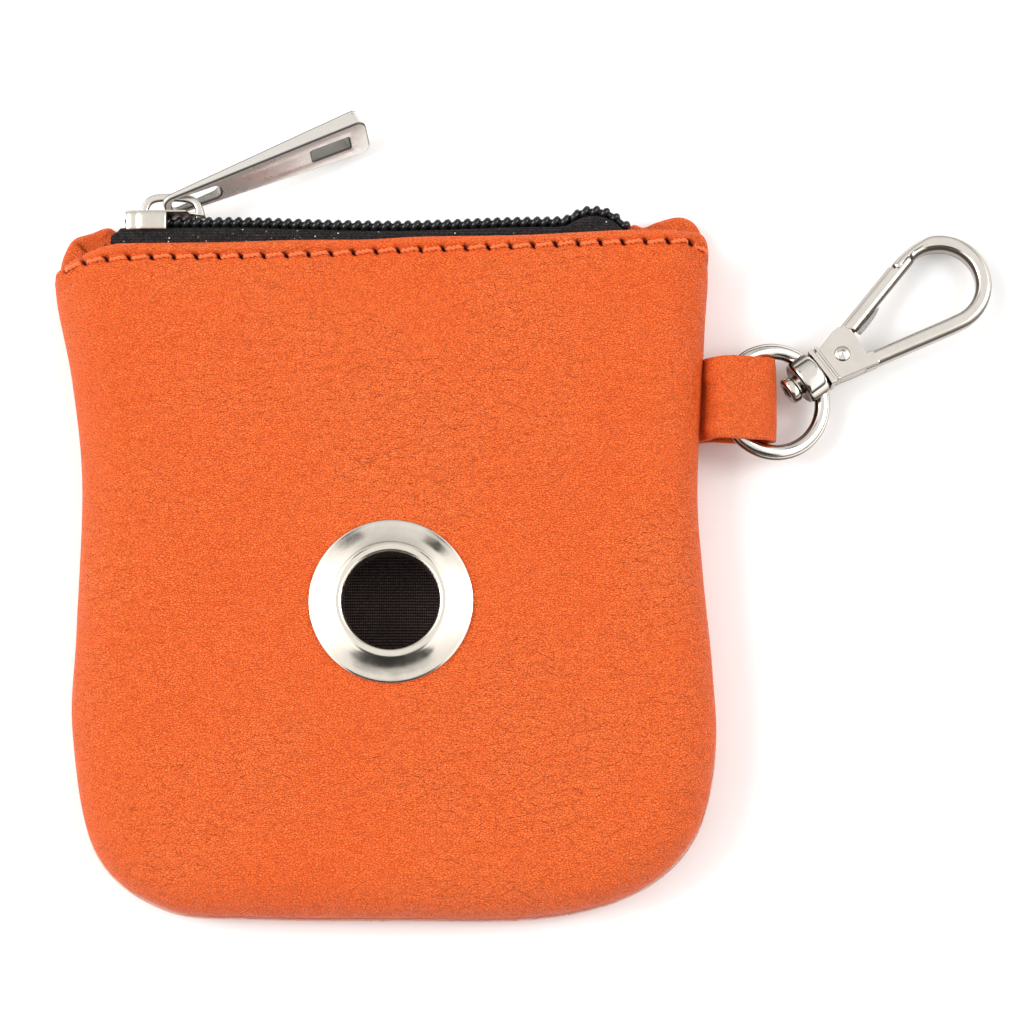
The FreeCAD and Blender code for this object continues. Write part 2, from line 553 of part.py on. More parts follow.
def gate():
    """Spring gate: a bar with a tongue between the cheeks and a stepped nose."""
    z = -HOOK_HALF + 0.1
    shoulder = Part.Arc(*cheek_arc(0.25))
    first, last = shoulder.parameter(V(16.5, 1.05, z)), shoulder.LastParameter
    near = [V(q.x, q.y, z) for q in (shoulder.value(first), shoulder.value((first + last) / 2),
                                     shoulder.value(last))]
    p = [near[2], V(26.95, 6.78, z), V(27.75, 5.6, z), V(29.95, 6.2, z), V(30.6, 5.05, z), near[0]]
    edges = [Part.makeLine(a, b) for a, b in zip(p, p[1:])] + [arc(near[0], near[1], near[2])]
    bar = Part.Face(Part.Wire(edges)).extrude(V(0, 0, 2 * HOOK_HALF - 0.2))
    rim = [e for e in bar.Edges if abs(abs(e.CenterOfMass.z) - HOOK_HALF + 0.1) < 1e-6
           and 17 < e.CenterOfMass.x < 26]
    bar = bar.makeFillet(0.5, rim)
    groove = prism([(15, -1.5), (16.5, 1.9), (22.6, 3.6), (22.6, -1.5)], -0.85, 0.85)
    tongue = prism([(PIN[0], PIN[1] + 2.0), (14.9, 3.3), (17.2, 3.9), (17.4, 2.3),
                    (15.2, 0.2), (PIN[0] + 0.4, PIN[1] - 2.05)], -TONGUE_HALF, TONGUE_HALF)
    disc = Part.makeCylinder(2.1, 2 * TONGUE_HALF, V(PIN[0], PIN[1], -TONGUE_HALF))
    hole = Part.makeCylinder(PIN_R + 0.06, 4, V(PIN[0], PIN[1], -2))
    whole = bar.cut(groove).fuse([tongue, disc]).cut(hole).removeSplitter()
    whole.Placement = hook_frame()
    save("gate", whole)


def gate_spring():
    """Leaf of the gate spring, lying in the open channel of the gate."""
    pts = [(16.8, 1.1), (21.9, 2.62), (22.0, 2.35), (16.9, 0.75)]
    leaf = prism(pts, -0.65, 0.65)
    leaf.Placement = hook_frame()
    save("gate_spring", leaf)


os.makedirs("parts", exist_ok=True)
front_panel()
back_panel()
linings()
tab_anchor()
top_stitching()
seam_stitching()
zip_tapes()
zip_coils()
slider_body()
puller()
eyelet()
eyelet_washer()
tab_loop()
swivel_ring()
swivel_post()
hook_body()
gate_pin()
gate()
gate_spring()
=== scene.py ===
"""Look of the treat pouch: orange pebbled leather, nickel eyelet, zip, side tab,
swivel ring and snap hook.  Metres, in the frame of the CAD model: X to the right,
Y toward the zip, Z up out of the front, pouch lying on its back."""
import math
import bmesh
import bpy
import numpy as np
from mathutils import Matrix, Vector, noise


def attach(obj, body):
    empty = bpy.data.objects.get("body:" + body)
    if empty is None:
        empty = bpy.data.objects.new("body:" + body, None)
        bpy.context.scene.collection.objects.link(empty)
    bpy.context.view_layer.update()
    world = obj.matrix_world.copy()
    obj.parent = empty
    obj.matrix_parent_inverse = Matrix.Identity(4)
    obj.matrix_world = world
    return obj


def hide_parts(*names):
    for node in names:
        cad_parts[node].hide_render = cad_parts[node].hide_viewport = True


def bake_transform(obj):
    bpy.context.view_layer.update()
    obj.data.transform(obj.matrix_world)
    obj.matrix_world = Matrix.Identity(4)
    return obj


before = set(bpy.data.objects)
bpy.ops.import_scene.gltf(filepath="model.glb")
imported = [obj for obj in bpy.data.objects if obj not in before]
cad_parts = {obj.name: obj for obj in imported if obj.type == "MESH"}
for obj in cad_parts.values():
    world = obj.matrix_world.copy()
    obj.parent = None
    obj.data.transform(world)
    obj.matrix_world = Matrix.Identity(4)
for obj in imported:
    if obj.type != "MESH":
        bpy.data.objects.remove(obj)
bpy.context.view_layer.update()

MM = 0.001
rng = np.random.default_rng(11)

# ---- sizes in millimetres, in the CAD's frame ------------------------------------------
TOP_Z = 13.2
SEAM_Z = 4.5
LEATHER = 1.15
HOLE_R = 7.55
ZIP_Z = TOP_Z / 2
OUTLINE = [(0, -46.2), (22, -45.9), (36.1, -42.2), (44.6, -34.5), (47.9, -22), (47.6, -9.6),
           (46.3, 4.7), (45.6, 18), (46.8, 41), (47.4, 53), (45.5, 66), (30, 73), (0, 74),
           (-33, 73), (-48, 66), (-51, 53), (-50.8, 46), (-48.3, 33.9), (-46.5, 18),
           (-47.0, -4), (-47.3, -19), (-43.6, -36.5), (-33.5, -44.7), (-20, -46.0)]
FRONT_FOLD = [(-51.0, 49.0), (-50.3, 50.2), (-47.5, 51.9), (-44.6, 53.1), (-42.0, 53.9),
              (-39.0, 54.1), (-24.8, 54.2), (-13.6, 54.5), (-3.4, 54.6), (3.8, 55.0), (15, 55.2),
              (22, 55.4), (33.2, 56.0), (38.5, 56.1), (43.7, 56.1), (45.6, 56.1), (46.7, 55.5),
              (47.3, 54.0), (47.4, 51.5)]
BACK_FOLD = [(-51.0, 50.5), (-50.7, 53.4), (-49.2, 56.7), (-46.3, 57.9), (-43.8, 58.7),
             (-41.5, 57.5), (-36, 56.9), (0, 56.9), (30, 57.2), (34.5, 58.2), (36.4, 59.2),
             (38, 58.8), (40, 59.6), (43.3, 60.4), (45.6, 59.4), (46.9, 56.7), (47.3, 52)]
STITCH_ROW = [(-49.3, 50.0), (-45.9, 51.1), (-39.2, 51.8), (-28.7, 51.9), (-18.3, 52.0),
              (-7.9, 52.4), (5.6, 53.0), (19, 53.5), (31, 54.0), (42.9, 54.3), (45.2, 54.1),
              (47.6, 52.7)]
STITCH_PITCH = 3.36
STITCH_LEN = 2.5
TURN_ROWS = 8       # rows of a panel's skin that turn into the seam or over the fold


# ---- curve helpers ------------------------------------------------------------------
def catmull(points, per_span, closed):
    """Smooth curve through the points, per_span samples to each span."""
    p = np.array(points, float)
    n = len(p)
    out = []
    t = np.linspace(0, 1, per_span, endpoint=False)[:, None]
    for i in range(n if closed else n - 1):
        if closed:
            a, b, c, d = p[i - 1], p[i], p[(i + 1) % n], p[(i + 2) % n]
        else:
            a, b, c, d = p[max(i - 1, 0)], p[i], p[i + 1], p[min(i + 2, n - 1)]
        out.append(0.5 * (2 * b + (c - a) * t + (2 * a - 5 * b + 4 * c - d) * t ** 2
                          + (3 * b - a - 3 * c + d) * t ** 3))
    if not closed:
        out.append(p[-1:])
    return np.vstack(out)


def resample(points, steps):
    """Points along an open polyline at the given distances from its start."""
    seg = np.linalg.norm(np.diff(points, axis=0), axis=1)
    along = np.concatenate([[0], np.cumsum(seg)])
    return np.stack([np.interp(steps, along, points[:, k]) for k in range(points.shape[1])], 1)


def length_of(points):
    """Length of an open polyline."""
    return float(np.linalg.norm(np.diff(points, axis=0), axis=1).sum())


def tangents(points):
    """Unit direction of a polyline at each of its points."""
    t = np.gradient(points, axis=0)
    return t / np.linalg.norm(t, axis=1)[:, None]


def left_of(direction):
    """Flat directions turned a quarter to the left."""
    return np.stack([-direction[:, 1], direction[:, 0]], 1)


def walk_back(loop, start, stop):
    """Points of a closed loop from start down to, but without, stop."""
    return loop[(start - np.arange((start - stop) % len(loop))) % len(loop)]


def rounded_box(count, power):
    """Across and up (-1..1) round a box section with soft corners."""
    ang = 2 * math.pi * np.arange(count) / count
    ct, st = np.cos(ang), np.sin(ang)
    return np.sign(ct) * np.abs(ct) ** (2 / power), np.sign(st) * np.abs(st) ** (2 / power)


def distance_to(points, curve):
    """Distance of each point to a closed polyline."""
    a, b = curve, np.roll(curve, -1, axis=0)
    ab = b - a
    size = (ab ** 2).sum(1) + 1e-12
    best = np.full(len(points), 1e9)
    for lo in range(0, len(points), 4000):
        q = points[lo:lo + 4000, None, :]
        t = np.clip(((q - a) * ab).sum(2) / size, 0, 1)
        best[lo:lo + 4000] = np.sqrt((((a + t[..., None] * ab) - q) ** 2).sum(2)).min(1)
    return best


def fbm(x, y, z, scale, octaves, seed):
    """Smooth noise in the range about -1..1 at each point, features scale mm wide."""
    out = np.empty(len(x))
    for i in range(len(x)):
        v = Vector((x[i] / scale + seed, y[i] / scale - seed, z[i] / scale))
        out[i] = noise.fractal(v, 1.0, 2.0, octaves)
    return out


# ---- mesh helpers -------------------------------------------------------------------
def mesh_object(name, verts, faces, smooth=True):
    """A mesh object from vertices in millimetres."""
    me = bpy.data.meshes.new(name)
    me.from_pydata([tuple(v) for v in np.asarray(verts, float) * MM], [], faces)
    me.validate()
    ob = bpy.data.objects.new(name, me)
    bpy.context.scene.collection.objects.link(ob)
    bm = bmesh.new()
    bm.from_mesh(me)
    bmesh.ops.recalc_face_normals(bm, faces=bm.faces)
    bm.to_mesh(me)
    bm.free()
    if smooth:
        me.polygons.foreach_set("use_smooth", [True] * len(me.polygons))
    return ob


def grid_faces(rows, cols, closed_cols=False, closed_rows=False):
    """Four-sided faces between the points of a grid, optionally closed into a ring."""
    out = []
    for i in range(rows if closed_rows else rows - 1):
        for j in range(cols if closed_cols else cols - 1):
            here, below = i * cols, ((i + 1) % rows) * cols
            right = (j + 1) % cols
            out.append((here + j, here + right, below + right, below + j))
    return out


def capped_faces(rows, cols):
    """Faces of a bar made of closed rings, with a flat face at both ends."""
    ends = [tuple(range(cols)), tuple(reversed(range((rows - 1) * cols, rows * cols)))]
    return grid_faces(rows, cols, closed_cols=True) + ends


def tube(path, radius, sides=8, flat=None):
    """Round tube along a path (N x 3), closed at both ends; returns verts and faces."""
    p = np.asarray(path, float)
    n = len(p)
    r = np.broadcast_to(np.asarray(radius, float), (n,))
    tan = tangents(p)
    up = np.array([0, 0, 1.0]) if flat is None else np.asarray(flat, float)
    verts = []
    prev = None
    for i in range(n):
        side = np.cross(tan[i], up if prev is None else prev)
        if np.linalg.norm(side) < 1e-6:
            side = np.cross(tan[i], [1.0, 0, 0])
        side /= np.linalg.norm(side)
        over = np.cross(side, tan[i])
        prev = over
        for k in range(sides):
            a = 2 * math.pi * k / sides
            verts.append(p[i] + r[i] * (math.cos(a) * side + math.sin(a) * over))
    faces = grid_faces(n, sides, closed_cols=True)
    verts += [p[0] - tan[0] * r[0] * 0.6, p[-1] + tan[-1] * r[-1] * 0.6]
    e0, e1 = n * sides, n * sides + 1
    for k in range(sides):
        faces.append((e0, (k + 1) % sides, k))
        faces.append((e1, (n - 1) * sides + k, (n - 1) * sides + (k + 1) % sides))
    return verts, faces


def joined(parts):
    """Many (verts, faces) lists as one."""
    verts, faces = [], []
    for v, f in parts:
        base = len(verts)
        verts += list(v)
        faces += [tuple(i + base for i in face) for face in f]
    return verts, faces


def turned(profile, sides, place):
    """Closed profile turned a full circle; place makes a point of its two values and an
    angle."""
    pts = [place(a, b, 2 * math.pi * k / sides) for a, b in profile for k in range(sides)]
    return pts, grid_faces(len(profile), sides, closed_cols=True, closed_rows=True)


def lathe(profile, sides=160):
    """Closed profile (radius, z) turned about the vertical through the origin."""
    return turned(profile, sides, lambda r, z, a: (r * math.cos(a), r * math.sin(a), z))


def bevel(ob, width, segments, angle):
    """Rounds every edge sharper than angle degrees; width in millimetres."""
    m = ob.modifiers.new("bevel", "BEVEL")
    m.width = width * MM
    m.segments = segments
    m.limit_method = "ANGLE"
    m.angle_limit = math.radians(angle)
    m.harden_normals = False


# ---- materials ----------------------------------------------------------------------
class Nodes:
    """Short way to build a material's nodes."""

    def __init__(self, name):
        self.mat = bpy.data.materials.new(name)
        self.mat.use_nodes = True
        self.tree = self.mat.node_tree
        self.tree.nodes.clear()
        self.out = self.add("ShaderNodeOutputMaterial")
        self.bsdf = self.add("ShaderNodeBsdfPrincipled")
        self.link(self.bsdf, "BSDF", self.out, "Surface")
        self.coord = self.add("ShaderNodeTexCoord")

    def add(self, kind, **values):
        node = self.tree.nodes.new(kind)
        for key, value in values.items():
            if hasattr(node, key):
                setattr(node, key, value)
            else:
                node.inputs[key.replace("_", " ")].default_value = value
        return node

    def link(self, a, out, b, into):
        self.tree.links.new(a.outputs[out], b.inputs[into])

    def mapping(self, scale=(1, 1, 1), rotation=(0, 0, 0)):
        m = self.add("ShaderNodeMapping")
        m.inputs["Scale"].default_value = scale
        m.inputs["Rotation"].default_value = rotation
        self.link(self.coord, "Object", m, "Vector")
        return m

    def noise(self, vector, scale, detail=2.0, rough=0.5, distortion=0.0):
        n = self.add("ShaderNodeTexNoise", Scale=scale, Detail=detail, Roughness=rough,
                     Distortion=distortion)
        self.link(vector, "Vector" if "Vector" in vector.outputs else "Object", n, "Vector")
        return n

    def ramp(self, source, out, stops):
        """Colour ramp from (place, colour) stops; a single number is a grey."""
        r = self.add("ShaderNodeValToRGB")
        el = r.color_ramp.elements
        while len(el) < len(stops):
            el.new(0.5)
        for e, (pos, colour) in zip(el, stops):
            e.position = pos
            e.color = (*colour, 1) if isinstance(colour, tuple) else (colour, colour, colour, 1)
        self.link(source, out, r, "Fac")
        return r

    def math(self, op, a, b):
        m = self.add("ShaderNodeMath", operation=op)
        for i, value in enumerate((a, b)):
            if isinstance(value, tuple):
                self.tree.links.new(value[0].outputs[value[1]], m.inputs[i])
            elif hasattr(value, "outputs"):
                self.tree.links.new(value.outputs[0], m.inputs[i])
            else:
                m.inputs[i].default_value = value
        return m

    def mix(self, fac, a, b, blend="MIX"):
        m = self.add("ShaderNodeMix", data_type="RGBA", blend_type=blend)
        for i, value in ((0, fac), (6, a), (7, b)):
            if isinstance(value, tuple) and hasattr(value[0], "outputs"):
                self.tree.links.new(value[0].outputs[value[1]], m.inputs[i])
            else:
                m.inputs[i].default_value = value
        return m

    def bump(self, height, out, strength, distance, before=None):
        b = self.add("ShaderNodeBump", Strength=strength, Distance=distance)
        self.link(height, out, b, "Height")
        if before:
            self.link(before, "Normal", b, "Normal")
        return b


def leather_material(name, tint=1.0, highlight_colour=None):
    """Soft orange leather: cellular pebble grain, fine pores, faint cloudy colour, with the
    creases and needle holes painted dark as shade.  highlight_colour is a pale colour painted over a
    ridge as a painted highlight."""
    n = Nodes(name)
    base = n.mapping()
    warp = n.noise(base, 520, 2)
    shift = n.add("ShaderNodeVectorMath", operation="SCALE")
    shift.inputs["Scale"].default_value = 0.0009
    n.link(warp, "Color", shift, "Vector")
    moved = n.add("ShaderNodeVectorMath", operation="ADD")
    n.link(base, "Vector", moved, 0)
    n.link(shift, "Vector", moved, 1)
    flatter = n.add("ShaderNodeMapping")
    flatter.inputs["Scale"].default_value = (0.78, 1.2, 1)
    n.link(moved, "Vector", flatter, "Vector")
    cells = n.add("ShaderNodeTexVoronoi", feature="DISTANCE_TO_EDGE", Scale=3000)
    n.link(flatter, "Vector", cells, "Vector")
    creases = n.ramp(cells, "Distance", [(0.0, 0), (0.13, 0.7),
                                         (0.4, 1)])
    fine = n.noise(base, 3200, 3, 0.6)
    soft = n.noise(base, 420, 4, 0.6, 0.6)
    cloud = n.noise(base, 45, 3, 0.55)
    folds = n.add("ShaderNodeTexVoronoi", feature="DISTANCE_TO_EDGE", Scale=620)
    stretch = n.add("ShaderNodeMapping")
    stretch.inputs["Scale"].default_value = (0.6, 1.1, 1)
    n.link(moved, "Vector", stretch, "Vector")
    n.link(stretch, "Vector", folds, "Vector")
    lines = n.ramp(folds, "Distance", [(0.0, 0.0), (0.05, 0.85),
                                       (0.2, 1)])
    where = n.ramp(cloud, "Fac", [(0.42, 0), (0.62, 1)])
    patch = n.mix((where, "Color"), (1, 1, 1, 1), (lines, "Color"))
    tones = (0.25, (0.96, 0.150, 0.027)), (0.5, (1.0, 0.172, 0.034)), (0.78, (1.0, 0.197, 0.045))
    colour = n.ramp(cloud, "Fac", [(at, tuple(v * tint for v in tone)) for at, tone in tones])
    # Painted shade: dark darkens the grain's crease lines and dark2 the fold lines inside the cloudy
    # patches.
    dark = n.mix((creases, "Color"), (0.46, 0.25, 0.16, 1), (1, 1, 1, 1))
    shade = n.mix(0.8, (colour, "Color"), (dark, 2), "MULTIPLY")
    dark2 = n.mix((patch, 2), (0.82, 0.70, 0.60, 1), (1, 1, 1, 1))
    shade2 = n.mix(0.4, (shade, 2), (dark2, 2), "MULTIPLY")
    highlight_mix = n.ramp(soft, "Fac", [(0.30, 0.4), (0.45, 1)])
    # Painted shade: the needle holes are painted near black.
    hole_shade = n.add("ShaderNodeAttribute", attribute_name="hole_shade")
    holes = n.mix((hole_shade, "Fac"), (shade2, 2), (0.020, 0.003, 0.002, 1))
    # Painted highlight: a pale colour laid over most of a ridge.
    if highlight_colour:
        holes = n.mix((highlight_mix, "Color"), (holes, 2), (*highlight_colour, 1))
    n.link(holes, 2, n.bsdf, "Base Color")
    rough = n.ramp(soft, "Fac", [(0.3, 0.40), (0.7, 0.58)])
    n.link(rough, "Color", n.bsdf, "Roughness")
    n.bsdf.inputs["Specular IOR Level"].default_value = 0.2
    b1 = n.bump(creases, "Color", 0.8, 0.00016)
    b2 = n.bump(soft, "Fac", 0.6, 0.00035, b1)
    b3 = n.bump(patch, 2, 0.55, 0.00018, b2)
    b4 = n.bump(fine, "Fac", 0.12, 0.00006, b3)
    n.link(b4, "Normal", n.bsdf, "Normal")
    return n.mat


# Painted shade and painted dark reflection: the colour goes near black where a metal surface turns
# sideways from its polished face.
EDGE_SHADE_RAMP = [(0.0, (0.62, 0.58, 0.59)), (0.06, (0.50, 0.46, 0.45)), (0.12, (0.05, 0.038, 0.030)),
           (0.46, (0.07, 0.052, 0.038)), (0.60, (0.66, 0.61, 0.54)), (0.80, 1)]


def nickel_material(name, colour=(0.83, 0.79, 0.735), rough=0.14, metallic=1.0, face=None,
                    rim=False):
    """Bright nickel plate with faint wear, fine polishing lines and a slight orange peel.
    face is the direction a piece's polished face looks: where the surface turns away from it
    the colour is painted darker and browner, as painted shade and painted dark reflection on the
    sides and edges.  rim uses the mesh's own rim attribute to paint the marked rims near black as
    shade."""
    n = Nodes(name)
    base = n.mapping()
    wear = n.noise(base, 320, 4, 0.6)
    lines = n.noise(n.mapping((3, 3, 0.3), (0.4, 0.2, 0.7)), 1500, 2)
    c = n.ramp(wear, "Fac", [(0.3, tuple(v * 0.93 for v in colour)), (0.6, colour)])
    last = (c, "Color")
    if face is not None:
        turned = n.add("ShaderNodeVectorMath", operation="DOT_PRODUCT")
        n.link(n.coord, "Normal", turned, 0)
        turned.inputs[1].default_value = face
        away = n.math("ABSOLUTE", (turned, "Value"), 0.0)
        edge_shade = n.ramp(away, "Value", EDGE_SHADE_RAMP)
        last = (n.mix(1.0, last, (edge_shade, "Color"), "MULTIPLY"), 2)
    if rim:
        # Painted shade: rims marked in the mesh are painted near black.
        mark = n.add("ShaderNodeAttribute", attribute_name="rim")
        last = (n.mix((mark, "Fac"), last, (0.035, 0.028, 0.022, 1)), 2)
    n.link(last[0], last[1], n.bsdf, "Base Color")
    r = n.ramp(wear, "Fac", [(0.3, (rough * 1.6,) * 3), (0.7, (rough * 0.8,) * 3)])
    n.link(r, "Color", n.bsdf, "Roughness")
    n.bsdf.inputs["Metallic"].default_value = metallic
    b = n.bump(wear, "Fac", 0.05, 0.00025)
    b2 = n.bump(lines, "Fac", 0.04, 0.00003, b)
    n.link(b2, "Normal", n.bsdf, "Normal")
    return n.mat


def weave_material(name, pitch, dark, light, rough, specks=False):
    """Black cloth woven in rows: a bead of thread at every crossing, fluff over it and,
    on the tape, stray glints."""
    n = Nodes(name)
    m = n.mapping()
    sep = n.add("ShaderNodeSeparateXYZ")
    n.link(m, "Vector", sep, "Vector")
    rows = n.math("SINE", n.math("MULTIPLY", (sep, "Y"), 2 * math.pi / pitch), 0.0)
    beads = n.math("SINE", n.math("MULTIPLY", (sep, "X"), 2.6 * math.pi / pitch), 0.0)
    amount = 0.10 if specks else 0.30
    both = n.math("ADD", n.math("MULTIPLY", rows, amount), n.math("MULTIPLY", beads, amount * 0.7))
    cross = n.math("ADD", both, 0.5)
    hair = n.noise(m, 3000 if specks else 4200, 3, 0.65)
    c = n.ramp(cross, "Value", [(0.35, dark), (0.95, light)])
    fluff = n.ramp(hair, "Fac", [(0.38, 0.12), (0.64, (2.2, 2.1, 2.1))])
    tone = n.mix(1.0 if specks else 0.5, (c, "Color"), (fluff, "Color"), "MULTIPLY")
    last = (tone, 2)
    if specks:
        v = n.add("ShaderNodeTexVoronoi", feature="F1", Scale=1100)
        n.link(m, "Vector", v, "Vector")
        dots = n.ramp(v, "Distance", [(0.07, 1), (0.15, 0)])
        some = n.noise(m, 600, 1)
        keep = n.ramp(some, "Fac", [(0.50, 0), (0.56, 1)])
        glow = n.math("MULTIPLY", (dots, "Color"), (keep, "Color"))
        glint = n.mix((glow, "Value"), (tone, 2), (0.75, 0.72, 0.70, 1))
        last = (glint, 2)
    n.link(last[0], last[1], n.bsdf, "Base Color")
    n.bsdf.inputs["Roughness"].default_value = rough
    n.bsdf.inputs["Specular IOR Level"].default_value = 0.25
    b = n.bump(cross, "Value", 0.6, pitch * 0.25)
    b2 = n.bump(hair, "Fac", 0.4, 0.00005, b)
    n.link(b2, "Normal", n.bsdf, "Normal")
    return n.mat


def nylon_material(name):
    """Smooth black nylon of the zip's coils."""
    n = Nodes(name)
    m = n.mapping()
    fine = n.noise(m, 2600, 3)
    c = n.ramp(fine, "Fac", [(0.3, (0.006, 0.006, 0.007)), (0.7, (0.016, 0.016, 0.018))])
    n.link(c, "Color", n.bsdf, "Base Color")
    r = n.ramp(fine, "Fac", [(0.3, 0.16), (0.7, 0.28)])
    n.link(r, "Color", n.bsdf, "Roughness")
    n.bsdf.inputs["Specular IOR Level"].default_value = 0.45
    n.link(n.bump(fine, "Fac", 0.2, 0.00004), "Normal", n.bsdf, "Normal")
    return n.mat


def thread_material(name):
    """Orange sewing thread with a little fluff."""
    n = Nodes(name)
    m = n.mapping()
    hair = n.noise(m, 4200, 3, 0.6)
    c = n.ramp(hair, "Fac", [(0.25, (0.62, 0.100, 0.014)), (0.55, (0.90, 0.175, 0.026)),
                             (0.8, (0.98, 0.27, 0.050))])
    n.link(c, "Color", n.bsdf, "Base Color")
    n.bsdf.inputs["Roughness"].default_value = 0.55
    n.bsdf.inputs["Sheen Weight"].default_value = 0.25
    n.link(n.bump(hair, "Fac", 0.5, 0.00005), "Normal", n.bsdf, "Normal")
    return n.mat


LEATHER_MAT = leather_material("orange_leather")
TAB_MAT = leather_material("orange_leather_tab", 0.97)
RIDGE_HIGHLIGHT_MAT = leather_material("orange_leather_ridge_highlight", 1.0, (0.98, 0.70, 0.58))
LINING_MAT = weave_material("black_lining", 0.00044, (0.006, 0.0035, 0.0035),
                            (0.135, 0.090, 0.088), 0.75)
TAPE_MAT = weave_material("black_tape", 0.00044, (0.003, 0.0025, 0.0025),
                          (0.040, 0.033, 0.034), 0.85, specks=True)
NYLON_MAT = nylon_material("black_nylon")
NICKEL_MAT = nickel_material("nickel", (0.95, 0.885, 0.785))
CAST_MAT = nickel_material("nickel_cast", (0.81, 0.775, 0.73), 0.2)
HOOK_MAT = nickel_material("nickel_hook", (0.88, 0.83, 0.77), 0.13, 1.0,
                           (0.01282, 0.11637, 0.99312))
RING_MAT = nickel_material("nickel_ring", (0.85, 0.815, 0.765), 0.14, 1.0, (0.2588, 0, 0.9659))
CROWN_MAT = nickel_material("nickel_crown", (0.80, 0.76, 0.70), 0.2, 0.9, (0, 0, 1))
SLIDER_MAT = nickel_material("nickel_slider", (0.72, 0.675, 0.605), 0.24, 0.85, (0, 0, 1))
SATIN_MAT = nickel_material("satin_nickel", (0.84, 0.80, 0.75), 0.28, 0.6, None, True)
STEEL_MAT = nickel_material("spring_steel", (0.5, 0.49, 0.47), 0.3)
THREAD_MAT = thread_material("orange_thread")


def finish_piece(ob, material, body=None, cad=()):
    """Material, the body it moves with and the CAD nodes it stands for."""
    ob.data.materials.clear()
    ob.data.materials.append(material)
    if body:
        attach(ob, body)
    if cad:
        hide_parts(*cad)
    return ob


def piece(name, shape, material, body, cad=(), rounding=None):
    """A finished piece from (verts, faces).  rounding is the width, segments and angle of
    the bevel on a piece with flat faces; without it the piece is smooth."""
    ob = mesh_object(name, *shape, smooth=rounding is None)
    if rounding:
        bevel(ob, *rounding)
    return finish_piece(ob, material, body, cad)


# ---- leather panels ----------------------------------------------------------------
EDGE = catmull(OUTLINE, 16, True)


def trimmed_outline(fold, side_step, top_step):
    """Closed boundary of a panel: the side and bottom outline up to both ends of the
    folded edge, then the folded edge itself.  Also tells which points are on the fold."""
    top = catmull(fold, 12, False)
    left, right = top[0], top[-1]
    start = int(np.argmin(np.linalg.norm(EDGE - right, axis=1)))
    stop = int(np.argmin(np.linalg.norm(EDGE - left, axis=1)))
    sides = walk_back(EDGE, start, stop)
    sides = sides[sides[:, 1] < np.where(sides[:, 0] > 0, right[1], left[1])]
    around = np.vstack([right, sides, left])
    a = resample(around, np.arange(0, length_of(around), side_step))
    b = resample(top, np.arange(0, length_of(top), top_step))
    on_fold = np.concatenate([np.zeros(len(a)), np.ones(len(b))])
    return np.vstack([a, b]), on_fold


def panel_skin(fold, crown, hole, side, stitches, grow=0.0):
    """Outer skin of one leather panel as rings running from the boundary inward, then
    rows that turn down into the seam or over the folded edge.  side is +1 or -1."""
    step = 1.0
    rim, on_fold = trimmed_outline(fold, 0.8 * step, 0.33 * step)
    k = 9
    kernel = np.hanning(k + 2)[1:-1]
    kernel /= kernel.sum()
    wrap = np.concatenate([on_fold[-k:], on_fold, on_fold[:k]])
    weight = np.convolve(wrap, kernel, "same")[k:-k]
    roll = 1.15
    tangent = np.roll(rim, -1, axis=0) - np.roll(rim, 1, axis=0)
    tangent /= np.linalg.norm(tangent, axis=1)[:, None]
    outward = np.stack([tangent[:, 1], -tangent[:, 0]], 1)
    outward *= np.sign((outward * rim).sum(1))[:, None]
    rim = rim + outward * (grow * (1 - weight))[:, None]
    rim_in = rim - outward * (roll * weight)[:, None]
    size = np.linalg.norm(rim_in, axis=1)
    dense = 5.0
    inner = max(hole, 0.4)
    reach = [size - s for s in np.arange(0, dense, 0.28 * step)]
    reach += [(size - dense) * (1 - u) + inner * u for u in np.linspace(0, 1, int(46 / step) + 1)]
    flat = np.array([rim_in * (r / size)[:, None] for r in reach])
    n_rows, n_cols = flat.shape[:2]
    pts = flat.reshape(-1, 2)
    depth = distance_to(pts, EDGE)
    z = crown(pts[:, 0], pts[:, 1], depth)
    top = catmull(fold, 12, False)
    high = pts[:, 1] > 44
    from_fold = np.full(len(pts), 99.0)
    from_fold[high] = distance_to(pts[high], np.vstack([top, top[::-1]]))
    puff = 0.26 if side > 0 else -0.15
    z = z + side * (puff * np.exp(-((from_fold - 0.9) / 0.75) ** 2)
                    - 0.20 * np.exp(-((from_fold - 2.3) / 0.8) ** 2))
    z, hole_shade = press_stitches(pts, z, stitches, side)
    skin = np.column_stack([pts, z]).reshape(n_rows, n_cols, 3)
    extra = []
    z0 = skin[0, :, 2]
    seam_rows = [(0.0, 0.28), (-0.04, 0.5), (-0.16, 0.68), (-0.38, 0.82), (-0.75, 0.93),
                 (-1.25, 0.985), (-2.2, 1.0), (-3.4, 1.0)]
    fold_rows = [(roll * math.sin(a), roll * (1 - math.cos(a)))
                 for a in np.radians([28, 60, 90, 120, 152, 180])] + [(-3.0, 2 * roll),
                                                                       (-8.0, 2 * roll)]
    for (so, sf), (fo, fd) in zip(seam_rows, fold_rows):
        z_seam = z0 + (SEAM_Z - z0) * sf
        z_fold = z0 - side * fd
        xy = rim_in + outward * (so * (1 - weight) + fo * weight)[:, None]
        extra.append(np.column_stack([xy, z_seam * (1 - weight) + z_fold * weight]))
    extra.reverse()
    full = np.concatenate([np.array(extra), skin])
    hole_shades = np.concatenate([np.zeros((len(extra), n_cols)), hole_shade.reshape(n_rows, n_cols)])
    return full, hole_shades


